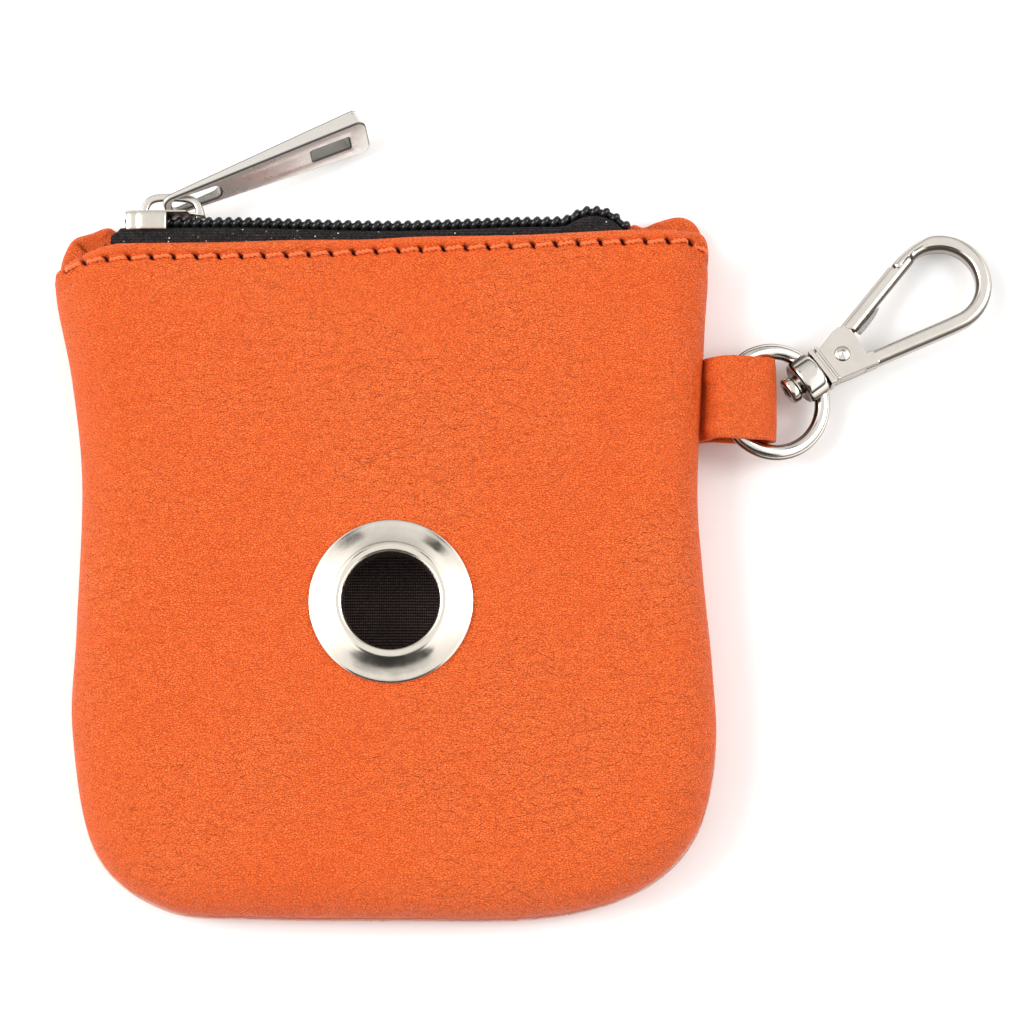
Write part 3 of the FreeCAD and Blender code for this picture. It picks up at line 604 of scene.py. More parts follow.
def front_crown(x, y, depth):
    """Height of the front face: rounded shoulders, slightly slack in the middle."""
    reach = 8.0
    d = np.clip(depth, 0, reach)
    top = TOP_Z - 0.05 - 0.35 * np.clip((x / 48) ** 2, 0, 1) - 0.3 * np.clip(-y / 46, 0, 1) ** 2
    z = top - 6.0 + 6.0 * np.sqrt(np.clip(1 - ((reach - d) / reach) ** 2.2, 0, 1))
    wide = fbm(x, y, z, 26, 2, 3.1)
    mid = fbm(x, y, z, 9, 3, 8.4)
    flat = np.clip(depth / 10, 0, 1) * np.clip((np.hypot(x, y) - 12) / 6, 0, 1)
    z = z + flat * (0.30 * wide - 0.12) + (0.35 + 0.65 * flat) * 0.055 * mid
    around = np.hypot(x, y)
    z = z - 0.16 * np.exp(-((around - 12.6) / 1.6) ** 2)
    side_drag = fbm(x * 1.0, y * 0.25, z * 0, 7, 2, 5.5)
    z = z + 0.10 * side_drag * np.exp(-(depth / 9) ** 2)
    return z


def back_crown(x, y, depth):
    """Height of the back face: small shoulders, flat where it lies on the table."""
    reach = 5.0
    d = np.clip(depth, 0, reach)
    z = 3.0 - 3.0 * np.sqrt(np.clip(1 - ((reach - d) / reach) ** 2.2, 0, 1))
    mid = fbm(x, y, z, 11, 3, 2.2)
    flat = np.clip(depth / 9, 0, 1)
    return z + 0.12 + 0.05 * mid * flat


def stitch_points(row):
    """Both ends of every stitch along a row."""
    line = catmull(row, 10, False)
    starts = np.arange(0.4, length_of(line) - STITCH_LEN, STITCH_PITCH)
    return resample(line, starts), resample(line, starts + STITCH_LEN)


def press_stitches(pts, z, ends, side):
    """Shallow channel under the thread and a slanted needle hole at each stitch end; also how far
    each point is painted near black as shade in a hole.
    """
    a, b = ends
    hole_shade = np.zeros(len(pts))
    for i in range(len(a)):
        hole = (a[i] + (b[i - 1] if i else a[i] - (b[i] - a[i]) * 0.26)) / 2
        near = np.abs(pts - hole).max(1) < 4
        q = pts[near] - hole
        along = q @ np.array([0.70, -0.71])
        across = q @ np.array([0.71, 0.70])
        pit = np.exp(-(along / 0.60) ** 4 - (across / 0.30) ** 2)
        z[near] -= side * 1.1 * pit
        hole_shade[near] = np.maximum(hole_shade[near], np.clip(pit * 2.0 - 0.4, 0, 1))
        mid = (a[i] + b[i]) / 2
        near = np.abs(pts - mid).max(1) < 4
        q = pts[near] - mid
        d = (b[i] - a[i]) / np.linalg.norm(b[i] - a[i])
        along = q @ d
        across = q @ np.array([-d[1], d[0]])
        z[near] -= side * 0.17 * np.exp(-(across / 0.5) ** 2) * np.exp(-(along / 1.6) ** 4)
        swell = np.exp(-((np.abs(across) - 1.2) / 0.6) ** 2) * np.exp(-(along / 1.5) ** 4)
        z[near] += side * 0.10 * swell
    return z, hole_shade


def panel_object(name, rings, hole_shades, close_centre, side):
    """Skin plus an inner skin one leather thickness in, joined at both rims."""
    rows, cols = rings.shape[:2]
    outer = rings.reshape(-1, 3)
    v_u = np.roll(rings, -1, axis=1) - np.roll(rings, 1, axis=1)
    v_v = np.gradient(rings, axis=0)
    normal = np.cross(v_u, v_v)
    normal /= np.linalg.norm(normal, axis=2)[..., None] + 1e-12
    mid = normal[rows * 2 // 3, :, 2].mean()
    if mid * side < 0:
        normal = -normal
    thick = np.full(rows, LEATHER)
    thick[:TURN_ROWS] = np.linspace(0.5, LEATHER, TURN_ROWS)
    inner = rings - normal * thick[:, None, None]
    inner[..., 2] = np.clip(inner[..., 2], 0.1, TOP_Z)
    faces = grid_faces(rows, cols, closed_cols=True)
    verts = list(outer)
    n = rows * cols
    if close_centre:
        verts.append(outer[(rows - 1) * cols:].mean(0))
        c = len(verts) - 1
        last = (rows - 1) * cols
        faces += [(last + j, last + (j + 1) % cols, c) for j in range(cols)]
    base = len(verts)
    verts += list(inner.reshape(-1, 3))
    faces += [tuple(reversed([i + base for i in f]))
              for f in grid_faces(rows, cols, closed_cols=True)]
    faces += [(j, base + j, base + (j + 1) % cols, (j + 1) % cols) for j in range(cols)]
    if close_centre:
        verts.append(inner.reshape(-1, 3)[(rows - 1) * cols:].mean(0))
        c = len(verts) - 1
        last = base + (rows - 1) * cols
        faces += [(last + (j + 1) % cols, last + j, c) for j in range(cols)]
    else:
        last = (rows - 1) * cols
        faces += [(last + j, last + (j + 1) % cols, base + last + (j + 1) % cols, base + last + j)
                  for j in range(cols)]
    ob = mesh_object(name, verts, faces)
    # hole_shade: how far each outer point is painted near black, painted shade in a needle hole.
    attribute = ob.data.attributes.new("hole_shade", "FLOAT", "POINT")
    values = np.zeros(len(verts), np.float32)
    values[:n] = hole_shades.reshape(-1)
    attribute.data.foreach_set("value", values)
    return ob


FRONT_STITCHES = stitch_points(STITCH_ROW)
FRONT_RINGS, hole_shades = panel_skin(FRONT_FOLD, front_crown, HOLE_R, 1, FRONT_STITCHES)
front = panel_object("leather_front", FRONT_RINGS, hole_shades, False, 1)
finish_piece(front, LEATHER_MAT, "pouch", ("front_panel",))

BACK_ROW = [(-47.0, 53.2), (-42, 54.4), (-20, 54.2), (20, 54.4), (40, 56.2), (45.2, 55.8)]
BACK_GROW = 0.06
BACK_STITCHES = stitch_points(BACK_ROW)
BACK_RINGS, hole_shades = panel_skin(BACK_FOLD, back_crown, 0, -1, BACK_STITCHES, BACK_GROW)
back = panel_object("leather_back", BACK_RINGS, hole_shades, True, -1)
finish_piece(back, LEATHER_MAT, "pouch", ("back_panel",))


# ---- stitching ----------------------------------------------------------------------
def height_on(rings_pts, xy):
    """Height of the skin nearest to each point."""
    flat = rings_pts[TURN_ROWS:].reshape(-1, 3)
    out = []
    for p in xy:
        d = ((flat[:, :2] - p) ** 2).sum(1)
        near = np.argsort(d)[:6]
        w = 1 / (d[near] + 0.02)
        out.append((flat[near, 2] * w).sum() / w.sum())
    return np.array(out)


def thread_stitches(ends, heights, side, radius, plies=2):
    """Twisted thread that rises from one needle hole and dives into the next."""
    a, b = ends
    parts = []
    over = 0.04
    for i in range(len(a)):
        d = (b[i] - a[i]) / np.linalg.norm(b[i] - a[i])
        p0, p1 = a[i] - d * over, b[i] + d * over
        t = np.linspace(0, 1, 26)
        arch = np.minimum(1, np.sin(math.pi * np.clip(t, 0, 1)) * 2.4)
        wob = rng.uniform(-0.06, 0.06)
        slant = 0.10 * np.sin(2 * math.pi * (t - 0.5))
        xy = p0 + (p1 - p0) * t[:, None] + np.outer(slant + wob, [-d[1], d[0]])
        z = heights[i] + side * (-0.75 + 0.98 * arch)
        mid = np.column_stack([xy, z])
        turn = 2 * math.pi * (t * np.linalg.norm(p1 - p0) / 1.35) + rng.uniform(0, 6)
        for ply in range(plies):
            ang = turn + 2 * math.pi * ply / plies
            offset = np.outer(np.cos(ang) * radius * 0.82, [-d[1], d[0], 0])
            offset[:, 2] += np.sin(ang) * radius * 0.82
            parts.append(tube(mid + offset, radius, 7))
    return joined(parts)


def sewn_row(name, ends, skin, lift, side, radius, cad):
    """Thread of one row of stitches, lying on a panel's skin."""
    heights = height_on(skin, (ends[0] + ends[1]) / 2) + lift
    piece(name, thread_stitches(ends, heights, side, radius), THREAD_MAT,
          "pouch", (cad,))


sewn_row("thread_front", FRONT_STITCHES, FRONT_RINGS, 0.0, 1, 0.175, "top_stitching_front")
sewn_row("thread_back", BACK_STITCHES, BACK_RINGS, 0.12, -1, 0.15, "top_stitching_back")


def seam_threads():
    """Thread of the side and bottom seam, seen only where the seam opens at the mouth."""
    loop = EDGE * (1 - 2.1 / np.linalg.norm(EDGE, axis=1))[:, None]
    start = int(np.argmin(np.linalg.norm(loop - [45.3, 52], axis=1)))
    stop = int(np.argmin(np.linalg.norm(loop - [-48.6, 50], axis=1)))
    line = walk_back(loop, start, stop)
    starts = np.arange(0, length_of(line) - 3, STITCH_PITCH)
    parts = []
    for p, q in zip(resample(line, starts), resample(line, starts + STITCH_LEN)):
        t = np.linspace(0, 1, 7)[:, None]
        path = np.column_stack([p + (q - p) * t, SEAM_Z + 1.55 + 0.15 * np.sin(math.pi * t)])
        parts.append(tube(path, 0.2, 6))
    return joined(parts)


piece("thread_seam", seam_threads(), THREAD_MAT, "pouch",
      ("side_seam_stitching",))


def seam_edge():
    """Ridge of the turned seam, low on the side wall round the pouch's foot; its pale colour is a
    painted highlight.
    """
    low = EDGE[np.argsort(np.arctan2(EDGE[:, 0], -EDGE[:, 1]))]
    low = low[low[:, 1] < -12]
    stand = 0.26 - 0.62 * np.clip((low[:, 1] + 28) / 16, 0, 1) ** 2
    out = low * (1 + stand / np.linalg.norm(low, axis=1))[:, None]
    path = resample(out, np.arange(0, length_of(out), 0.8))
    return tube(np.column_stack([path, np.full(len(path), 3.6)]), 0.14, 8)


piece("seam_ridge", seam_edge(), RIDGE_HIGHLIGHT_MAT, "pouch")


# ---- lining -------------------------------------------------------------------------
def lining_skin(name, z_face, z_seam, reach, hole, side, cad):
    """One half of the lining bag: thin cloth with soft ripples."""
    loop = EDGE[::2] * (1 - 6.4 / np.linalg.norm(EDGE[::2], axis=1))[:, None]
    loop[:, 1] = np.minimum(loop[:, 1], 43.3)
    size = np.linalg.norm(loop, axis=1)
    rings = []
    for s, f in ((0, 1.0), (0.1, 0.7), (0.35, 0.45), (0.9, 0.25), (1.8, 0.1), (3.2, 0.02)):
        xy = loop * ((size - s) / size)[:, None]
        rings.append(np.column_stack([xy, np.full(len(xy), z_face + (z_seam - z_face) * f)]))
    inner = max(hole, 0.5)
    for u in np.linspace(0.06, 1, 40):
        xy = loop * (((size - 3.2) * (1 - u) + inner * u) / size)[:, None]
        z = np.full(len(xy), z_face, float)
        ripple = fbm(xy[:, 0], xy[:, 1], z, 9, 2, 4.4)
        keep = 1.0 if hole == 0 else float(np.clip((1 - u) * 4, 0, 1))
        rings.append(np.column_stack([xy, z - side * reach * (0.5 + ripple) * keep]))
    rings = np.array(rings)
    n_rows, cols = rings.shape[:2]
    verts = list(rings.reshape(-1, 3))
    faces = grid_faces(n_rows, cols, closed_cols=True)
    if hole == 0:
        verts.append(rings[-1].mean(0))
        last = (n_rows - 1) * cols
        faces += [(last + j, last + (j + 1) % cols, len(verts) - 1) for j in range(cols)]
    ob = mesh_object(name, verts, faces)
    m = ob.modifiers.new("cloth thickness", "SOLIDIFY")
    m.thickness = 0.3 * MM
    m.offset = 0
    return finish_piece(ob, LINING_MAT, "pouch", (cad,))


lining_skin("lining_front", 11.72, SEAM_Z + 0.1, 0.2, 7.8, 1, "front_lining")
lining_skin("lining_back", 1.5, SEAM_Z - 0.1, 0.35, 0, -1, "back_lining")


# ---- zip ----------------------------------------------------------------------------
CHAIN_LINE = [(-43.5, 56.0), (-42.4, 56.7), (-41.2, 57.5), (-40, 57.88), (-30, 57.9),
              (-21.8, 57.88), (-14.2, 57.65), (-6.6, 57.45), (0.9, 57.4), (8.5, 57.6),
              (16.0, 57.9), (21, 58.0), (25.4, 58.12),
              (27.2, 58.9), (28.9, 59.6), (31.1, 59.6), (33.0, 58.9), (34.6, 57.6), (36.5, 56.4)]


CHAIN_Y = 57.9


def chain_y(x):
    """Where the zip's chain lies across the pouch at a place along it."""
    c = catmull(CHAIN_LINE, 10, False)
    return np.interp(x, c[:, 0], c[:, 1])


def zip_coil(name, side, cad):
    """Nylon coil: oval turns round a cord, each turn leaning like a rope's strand."""
    x0, x1, pitch = -40.2, 35.4, 1.5
    turns = (x1 - x0) / pitch
    n = int(turns * (22))
    t = np.linspace(0, turns, n)
    x = x0 + t * pitch
    wide, deep, wire = 1.175 - 0.5, 0.965 - 0.48, 0.50
    zc = ZIP_Z + side * (0.55 + 1.175)
    ang = 2 * math.pi * t
    yc = chain_y(x)
    path = np.column_stack([x + 0.10 * np.sin(2 * ang), yc + deep * np.sin(ang),
                            zc + side * wide * np.cos(ang)])
    parts = [tube(path, wire, 8, flat=(1, 0, 0))]
    core = np.column_stack([x[::4], yc[::4], np.full(len(x[::4]), zc)])
    parts.append(tube(core, 0.52, 8))
    piece(name, joined(parts), NYLON_MAT, "pouch", (cad,))


zip_coil("coil_front", 1, "zipper_coil_front")
zip_coil("coil_back", -1, "zipper_coil_back")


def zip_tape(name, side, cad):
    """Woven tape that stands behind the coil and turns in under the hem."""
    xs = np.arange(-42.4, 38.2, 0.25)
    t = 0.21
    section = [(-1.19, z) for z in np.linspace(0.55, 2.9, 9)]
    section += [(-1.19 - 0.8 * (1 - math.cos(a)), 2.9 + 0.8 * math.sin(a))
                for a in np.linspace(0, math.pi / 2, 8)[1:]]
    section += [(-1.99 - y * 9.5, 3.7) for y in np.linspace(0, 1, 14)[1:]]
    sec = np.array(section)
    nrm = left_of(tangents(sec))
    loop = np.vstack([sec + nrm * t, (sec - nrm * t)[::-1]])
    back = np.clip(-(sec[:, 0] + 1.19) / 6, 0, 1)
    depth = np.concatenate([back, back[::-1]])
    rings = []
    for x in xs:
        y = chain_y(x)
        follow = y + (CHAIN_Y - y) * depth
        drop = 0.18 * fbm([x], [0.0], [side * 3.0], 7, 2, 1.7)[0]
        z = ZIP_Z + side * (loop[:, 1] + drop * depth)
        rings.append(np.column_stack([np.full(len(loop), x), follow + loop[:, 0], z]))
    shape = np.vstack(rings), capped_faces(len(rings), len(loop))
    piece(name, shape, TAPE_MAT, "pouch", (cad,))


zip_tape("tape_front", 1, "zipper_tape_front")
zip_tape("tape_back", -1, "zipper_tape_back")


# ---- eyelet -------------------------------------------------------------------------
EYELET = [(12.1, 13.0), (12.15, 13.2), (11.9, 13.42), (11.0, 13.72), (9.8, 14.18), (8.9, 14.62),
          (8.4, 14.92), (7.9, 15.05), (7.4, 14.92), (7.08, 14.5), (7.0, 13.9), (7.0, 12.4),
          (7.0, 11.2), (7.15, 10.75), (7.6, 10.45), (8.2, 10.4), (8.25, 10.75), (7.75, 10.95),
          (7.5, 11.4), (7.5, 12.6), (7.55, 13.6), (8.0, 14.1), (8.8, 13.95), (9.8, 13.5),
          (10.9, 13.1), (11.7, 12.95)]
piece("eyelet_ring", lathe(catmull(EYELET, 8, True), 200),
      NICKEL_MAT, "pouch", ("eyelet",))
WASHER = [(7.55, 11.5), (7.55, 11.1), (11.5, 11.1), (11.5, 11.5)]
piece("eyelet_back_ring", lathe(WASHER, 96), CAST_MAT, "pouch", ("eyelet_washer",),
      (0.12, 2, 35))


# ---- slider and puller ------------------------------------------------------------------
def plate_xz(points, y0, y1):
    """Plate lying on the zip: outline in x and z (from the zip's middle), y0 to y1."""
    n = len(points)
    pts = [(x, y0, ZIP_Z + z) for x, z in points] + [(x, y1, ZIP_Z + z) for x, z in points]
    faces = [tuple(range(n)), tuple(reversed(range(n, 2 * n)))]
    faces += [(k, n + k, n + (k + 1) % n, (k + 1) % n) for k in range(n)]
    return pts, faces


def slider_flange(side):
    """Turned-down side of the slider: wide shoulder, narrower mouth, softly rounded."""
    line = catmull([(-40.25, 3.3), (-39.6, 3.62), (-38.6, 3.72), (-37.9, 3.92), (-37.0, 3.98),
                    (-35.6, 3.98), (-34.4, 3.96), (-34.05, 3.7)], 8, False)
    count = 40
    across, out = rounded_box(count, 3.4)
    across, out = across * 1.41, out * 0.42
    grow = np.minimum(1, np.sin(math.pi * np.linspace(0.02, 0.98, len(line))) * 6) ** 0.5
    verts = []
    for (x, z), g in zip(line, grow):
        verts.append(np.column_stack([np.full(count, x), 57.86 + across * (0.72 + 0.28 * g),
                                      ZIP_Z + side * (z + out * g)]))
    return np.vstack(verts), capped_faces(len(verts), count)


def slider_pieces():
    """Top plate with its tongue, side flanges, lower plate, post and arched crown."""
    x0, x1, tip, h = -40.4, -31.2, -28.6, 3.9
    top = plate_xz([(x0, -h + 0.4), (x0 + 2.9, -h), (x1, -h), (x1 + 0.3, -2.6), (tip, -1.1),
                    (tip, 1.1), (x1 + 0.3, 2.6), (x1, h), (x0 + 2.9, h), (x0, h - 0.4)],
                   59.16, 59.5)
    lower = plate_xz([(x0 + 0.3, -2.4), (x0 + 2.9, -2.7), (x1 - 0.3, -2.7), (x1 - 0.3, 2.7),
                      (x0 + 2.9, 2.7), (x0 + 0.3, 2.4)], 55.1, 56.1)
    post = plate_xz([(x0 + 0.5, -0.25), (x0 + 4.2, -0.25), (x0 + 4.2, 0.25), (x0 + 0.5, 0.25)],
                    56.0, 59.2)
    piece("slider_plates", joined([top, lower, post]), SLIDER_MAT, "slider",
          ("slider_body",), (0.16, 3, 30))
    piece("slider_flanges", joined([slider_flange(1), slider_flange(-1)]), SLIDER_MAT,
          "slider")
    line = catmull([(-37.9, 58.0), (-37.9, 59.3), (-37.75, 60.6), (-37.0, 61.75), (-35.6, 62.2),
                    (-33.5, 62.24), (-31.4, 62.1), (-30.1, 61.5), (-29.55, 60.5), (-29.4, 59.4),
                    (-29.3, 58.6)], 8, False)[6:-5]
    path = np.column_stack([line, np.full(len(line), ZIP_Z)])
    count = 24
    t, w = rounded_box(count, 3.2)
    n = len(line)
    wide = np.interp(np.arange(n), [0, 12, n - 12, n], [0.60, 0.60, 0.58, 0.9])
    verts = [np.column_stack([p[0] - d[1] * t * k, p[1] + d[0] * t * k, p[2] + 0.62 * w])
             for p, d, k in zip(path, tangents(line), wide)]
    piece("slider_crown", (np.vstack(verts), capped_faces(n, count)), CROWN_MAT, "slider")


PULLER_AT = np.array([-34.3, 60.75, 7.0])
PULLER_X = np.array([0.91257, 0.39769, -0.09516])
PULLER_Y = np.array([-0.10205, 0.44685, 0.88877])
PULLER_LEN = 32.4


def outline_ring(half, x0, x1, corner, flare, count=9):
    """Rounded-corner outline of a tapering slot or blade: half width at x0 and at x1."""
    pts = []
    for cx, cy, a0 in ((x1 - corner, -flare + corner, -90), (x1 - corner, flare - corner, 0),
                       (x0 + corner, half - corner, 90), (x0 + corner, -half + corner, 180)):
        for a in np.radians(np.linspace(a0, a0 + 90, count)):
            pts.append((cx + corner * math.cos(a), cy + corner * math.sin(a)))
    return np.array(pts)


def puller_thickness(x):
    """Half thickness of the puller at a distance from its eye."""
    return np.interp(x, [0.3, 2.0, 9.0, 33.4], [0.575, 0.575, 1.0, 1.6])


def puller_piece():
    """Tapering bar whose eye and slot are open right through, with bevelled rims."""
    face_z = np.cross(PULLER_X, PULLER_Y)
    outer = outline_ring(2.0, -0.55, PULLER_LEN, 1.5, 3.45)
    eye = outline_ring(1.32, 0.6, 8.4, 1.0, 1.32)
    slot = outline_ring(1.2, PULLER_LEN - 9.2, PULLER_LEN - 3.0, 0.2, 1.2)
    bm = bmesh.new()
    rim = 0.26
    marks = []

    def layer(pts, move, depth, side, mark=0.0):
        out = []
        nxt, prv = np.roll(pts, -1, 0), np.roll(pts, 1, 0)
        d = nxt - prv
        d /= np.linalg.norm(d, axis=1)[:, None] + 1e-9
        nrm = np.stack([d[:, 1], -d[:, 0]], 1)
        shifted = pts - nrm * move
        for x, y in shifted:
            z = side * (puller_thickness(max(x, 0.0)) - depth)
            p = PULLER_AT + x * PULLER_X + y * PULLER_Y + z * face_z
            out.append(bm.verts.new(p * MM))
            marks.append(mark)
        return out

    rings = {}
    for name, pts, sign in (("outer", outer, 1), ("eye", eye, -1), ("slot", slot, -1)):
        # The last value of each layer is its rim mark: painted shade, near black on the bevel and the
        # top of the wall, half as dark deep in the eye and slot.
        deep = 0.0 if name == "outer" else 0.5
        half = [(rim, 0.0, 0.0), (0.13, 0.05, 1.0), (0.0, 0.22, 0.9), (0.0, 0.42, deep)]
        rings[name] = [layer(pts, move * sign, depth, 1, mark) for move, depth, mark in half]
        rings[name] += [layer(pts, move * sign, depth, -1, mark) for move, depth, mark in half[::-1]]
        for a, b in zip(rings[name], rings[name][1:]):
            for k in range(len(a)):
                bm.faces.new((a[k], a[(k + 1) % len(a)], b[(k + 1) % len(a)], b[k]))
    for level in (0, 7):
        edges = []
        for name in rings:
            ring = rings[name][level]
            edges += [bm.edges.get((ring[k], ring[(k + 1) % len(ring)])) for k in range(len(ring))]
        bmesh.ops.triangle_fill(bm, use_beauty=True, use_dissolve=False, edges=edges)
    bmesh.ops.recalc_face_normals(bm, faces=bm.faces)
    me = bpy.data.meshes.new("puller_bar")
    bm.to_mesh(me)
    bm.free()
    me.attributes.new("rim", "FLOAT", "POINT").data.foreach_set("value", marks)
    ob = bpy.data.objects.new("puller_bar", me)
    bpy.context.scene.collection.objects.link(ob)
    me.polygons.foreach_set("use_smooth", [True] * len(me.polygons))
    me.set_sharp_from_angle(angle=math.radians(28))
    finish_piece(ob, SATIN_MAT, "puller", ("puller",))


slider_pieces()
puller_piece()


# ---- swivel ring and snap hook ----------------------------------------------------------
RING_AT = np.array([57.3, 31.1, 5.2])
RING_R, RING_WIRE = 7.72, 1.17
RING_TILT = math.radians(15)
HOOK_X = np.array([0.81059, 0.58033, -0.07846])
HOOK_Y = np.array([-0.58547, 0.80603, -0.08689])
HOOK_Z = np.array([0.01282, 0.11637, 0.99312])
HEAD = np.array([31.7, 0.1])
HEAD_MID, HEAD_WIDE = 6.575, 1.225
PIN = np.array([12.52, -0.28])
HALF = 1.8


def in_hook(points):
    """From the hook's own frame (along, across, out of its face) to the model's."""
    p = np.asarray(points, float)
    return RING_AT + p[:, :1] * HOOK_X + p[:, 1:2] * HOOK_Y + p[:, 2:] * HOOK_Z


def about_hook_axis(profile, sides=72):
    """Closed (along, radius) profile turned about the hook's long axis."""
    pts, faces = turned(profile, sides, lambda u, r, a: (u, r * math.cos(a), r * math.sin(a)))
    return in_hook(pts), faces


def about_pin(profile, sides=48):
    """Closed (radius, height) profile turned about the gate's rivet."""
    pts, faces = turned(profile, sides, lambda r, w, a: (PIN[0] + r * math.cos(a),
                                                         PIN[1] + r * math.sin(a), w))
    return in_hook(pts), faces


def ramped(t, low, high):
    """Smooth rise from 0 to 1 as t goes from low to high."""
    u = np.clip((t - low) / (high - low), 0, 1)
    return u * u * (3 - 2 * u)


def swept_bar(path, wide, thick, sides=64, power=3.1, start=None, end=None):
    """Bar with a rounded-box section along a path in the hook's plane.  start and end
    give, for a place across the bar (-1..1), how far that end is moved along it."""
    p = np.asarray(path, float)
    n = len(p)
    tan = tangents(p)
    side = left_of(tan)
    t, h = rounded_box(sides, power)
    wide = np.broadcast_to(wide, (n,))
    seg = np.concatenate([[0], np.cumsum(np.linalg.norm(np.diff(p, axis=0), axis=1))])
    verts = []
    for i in range(n):
        xy = p[i] + side[i] * (wide[i] * t)[:, None]
        if start is not None:
            xy = xy + tan[0] * (start(t) * max(0.0, 1 - seg[i] / 4.5))[:, None]
        if end is not None:
            xy = xy + tan[-1] * (end(t) * max(0.0, 1 - (seg[-1] - seg[i]) / 4.5))[:, None]
        verts.append(np.column_stack([xy, thick * h]))
    faces = grid_faces(n, sides, closed_cols=True)
    rim = 0.22
    for row, sign in ((verts[0], -1), (verts[-1], 1)):
        mid = row.mean(0)
        cap = mid + (row - mid) * (1 - rim / 2.0)
        cap[:, :2] += (tan[0] if sign < 0 else tan[-1]) * sign * 0.12
        verts.append(cap)
    for index, edge in ((n, 0), (n + 1, n - 1)):
        for k in range(sides):
            k2 = (k + 1) % sides
            faces.append((edge * sides + k, edge * sides + k2, index * sides + k2, index * sides + k))
        faces.append(tuple(index * sides + k for k in range(sides)))
    return in_hook(np.vstack(verts)), faces


def slab(outline, low, high):
    """Flat plate: an outline in the hook's plane between two heights."""
    n = len(outline)
    pts = [(u, v, low) for u, v in outline] + [(u, v, high) for u, v in outline]
    faces = [tuple(reversed(range(n))), tuple(range(n, 2 * n))]
    faces += [(k, (k + 1) % n, n + (k + 1) % n, n + k) for k in range(n)]
    return in_hook(pts), faces


def ring_with_boss():
    """Round wire ring and the rounded drum its swivel post passes through."""
    axis = np.array([math.sin(RING_TILT), 0, math.cos(RING_TILT)])
    east = np.array([math.cos(RING_TILT), 0, -math.sin(RING_TILT)])
    north = np.array([0, 1.0, 0])
    verts, major, minor = [], 160, 28
    for i in range(major):
        a = 2 * math.pi * i / major
        out = math.cos(a) * east + math.sin(a) * north
        for k in range(minor):
            b = 2 * math.pi * k / minor
            verts.append(RING_AT + out * (RING_R + RING_WIRE * math.cos(b))
                         + axis * RING_WIRE * math.sin(b))
    wire = (verts, grid_faces(major, minor, closed_cols=True, closed_rows=True))
    drum = catmull([(4.62, 2.5), (4.62, 2.95), (4.8, 3.28), (5.2, 3.42), (6.3, 3.44), (7.4, 3.42),
                    (7.85, 3.3), (8.06, 3.05), (8.08, 2.5), (8.08, 1.9), (7.9, 1.6), (6.4, 1.6),
                    (4.95, 1.6), (4.75, 1.75)], 4, True)
    piece("ring_and_boss", joined([wire, about_hook_axis(drum, 96)]), RING_MAT,
          "swivel_ring", ("swivel_ring",))


def riveted_post():
    """Swivel post with its riveted head inside the ring."""
    line = catmull([(2.42, 0.02), (2.42, 1.2), (2.48, 1.75), (2.72, 2.04), (3.2, 2.1), (3.66, 2.06),
                    (3.86, 1.85), (3.92, 1.55), (4.3, 1.5), (6.5, 1.5), (9.6, 1.5), (9.7, 1.3),
                    (9.7, 0.02), (6.0, 0.02)], 4, True)
    line[:, 1] = np.maximum(line[:, 1], 0.02)
    piece("riveted_post", about_hook_axis(line, 64), HOOK_MAT, "snap_hook",
          ("swivel_post",))


def hook_piece():
    """Base, the two cheeks and the teardrop bar that ends in the stepped nose."""
    lower = [(14.6, -3.16), (20.0, -4.25), (30.2, -6.36)]
    turn = np.radians(np.linspace(-100, 102, 40))
    head = [(HEAD[0] + HEAD_MID * math.cos(a), HEAD[1] + HEAD_MID * math.sin(a)) for a in turn]
    leg = catmull([(11, -2.45)] + lower + [head[1]], 14, False)[14:-14]
    path = np.vstack([leg[:-3], head, [(30.05, 6.42)]])
    wide = np.interp(np.arange(len(path)), [0, len(leg), len(path)], [1.12, 1.2, HEAD_WIDE])
    nose = swept_bar(path, wide, HALF, end=lambda t: 3.0 * ramped(-t, -0.22, 0.02) - 0.45)
    lo, hi = cheek_outline()
    root = [(10.2, -3.2), (15.6, -4.35), (15.8, -2.5), (10.2, -2.3)]
    parts = [slab(lo, 0.95, HALF), slab(lo, -HALF, -0.95), slab(hi, -0.96, 0.96),
             slab(root, -0.96, 0.96)]
    piece("hook_cheeks", joined(parts), HOOK_MAT, "snap_hook", (), (0.16, 3, 40))
    collar = joined([slab([(8.4, -3.25), (9.25, -3.25), (9.25, 3.0), (8.4, 3.0)], -2.05, 2.05),
                     slab([(9.55, -3.2), (10.05, -3.28), (10.05, 3.05), (9.55, 2.98)], -1.93, 1.93)])
    piece("hook_collar", collar, HOOK_MAT, "snap_hook", (), (0.22, 3, 40))
    piece("hook_bar", nose, HOOK_MAT, "snap_hook", ("hook_body",))


def cheek_outline():
    """Outline of a cheek, and of the solid block between the cheeks at their root."""
    cheek = [(9.0, 2.1), (9.0, -3.0), (12.5, -3.78), (16.4, -4.6), (16.6, -2.5), (15.6, -2.2),
             (15.75, -0.6), (15.95, 1.1), (15.85, 2.2), (15.4, 3.0), (14.6, 3.5), (13.5, 3.45)]
    block = [(9.0, 2.0), (9.0, -2.95), (10.2, -3.2), (10.2, 2.3)]
    return cheek, block


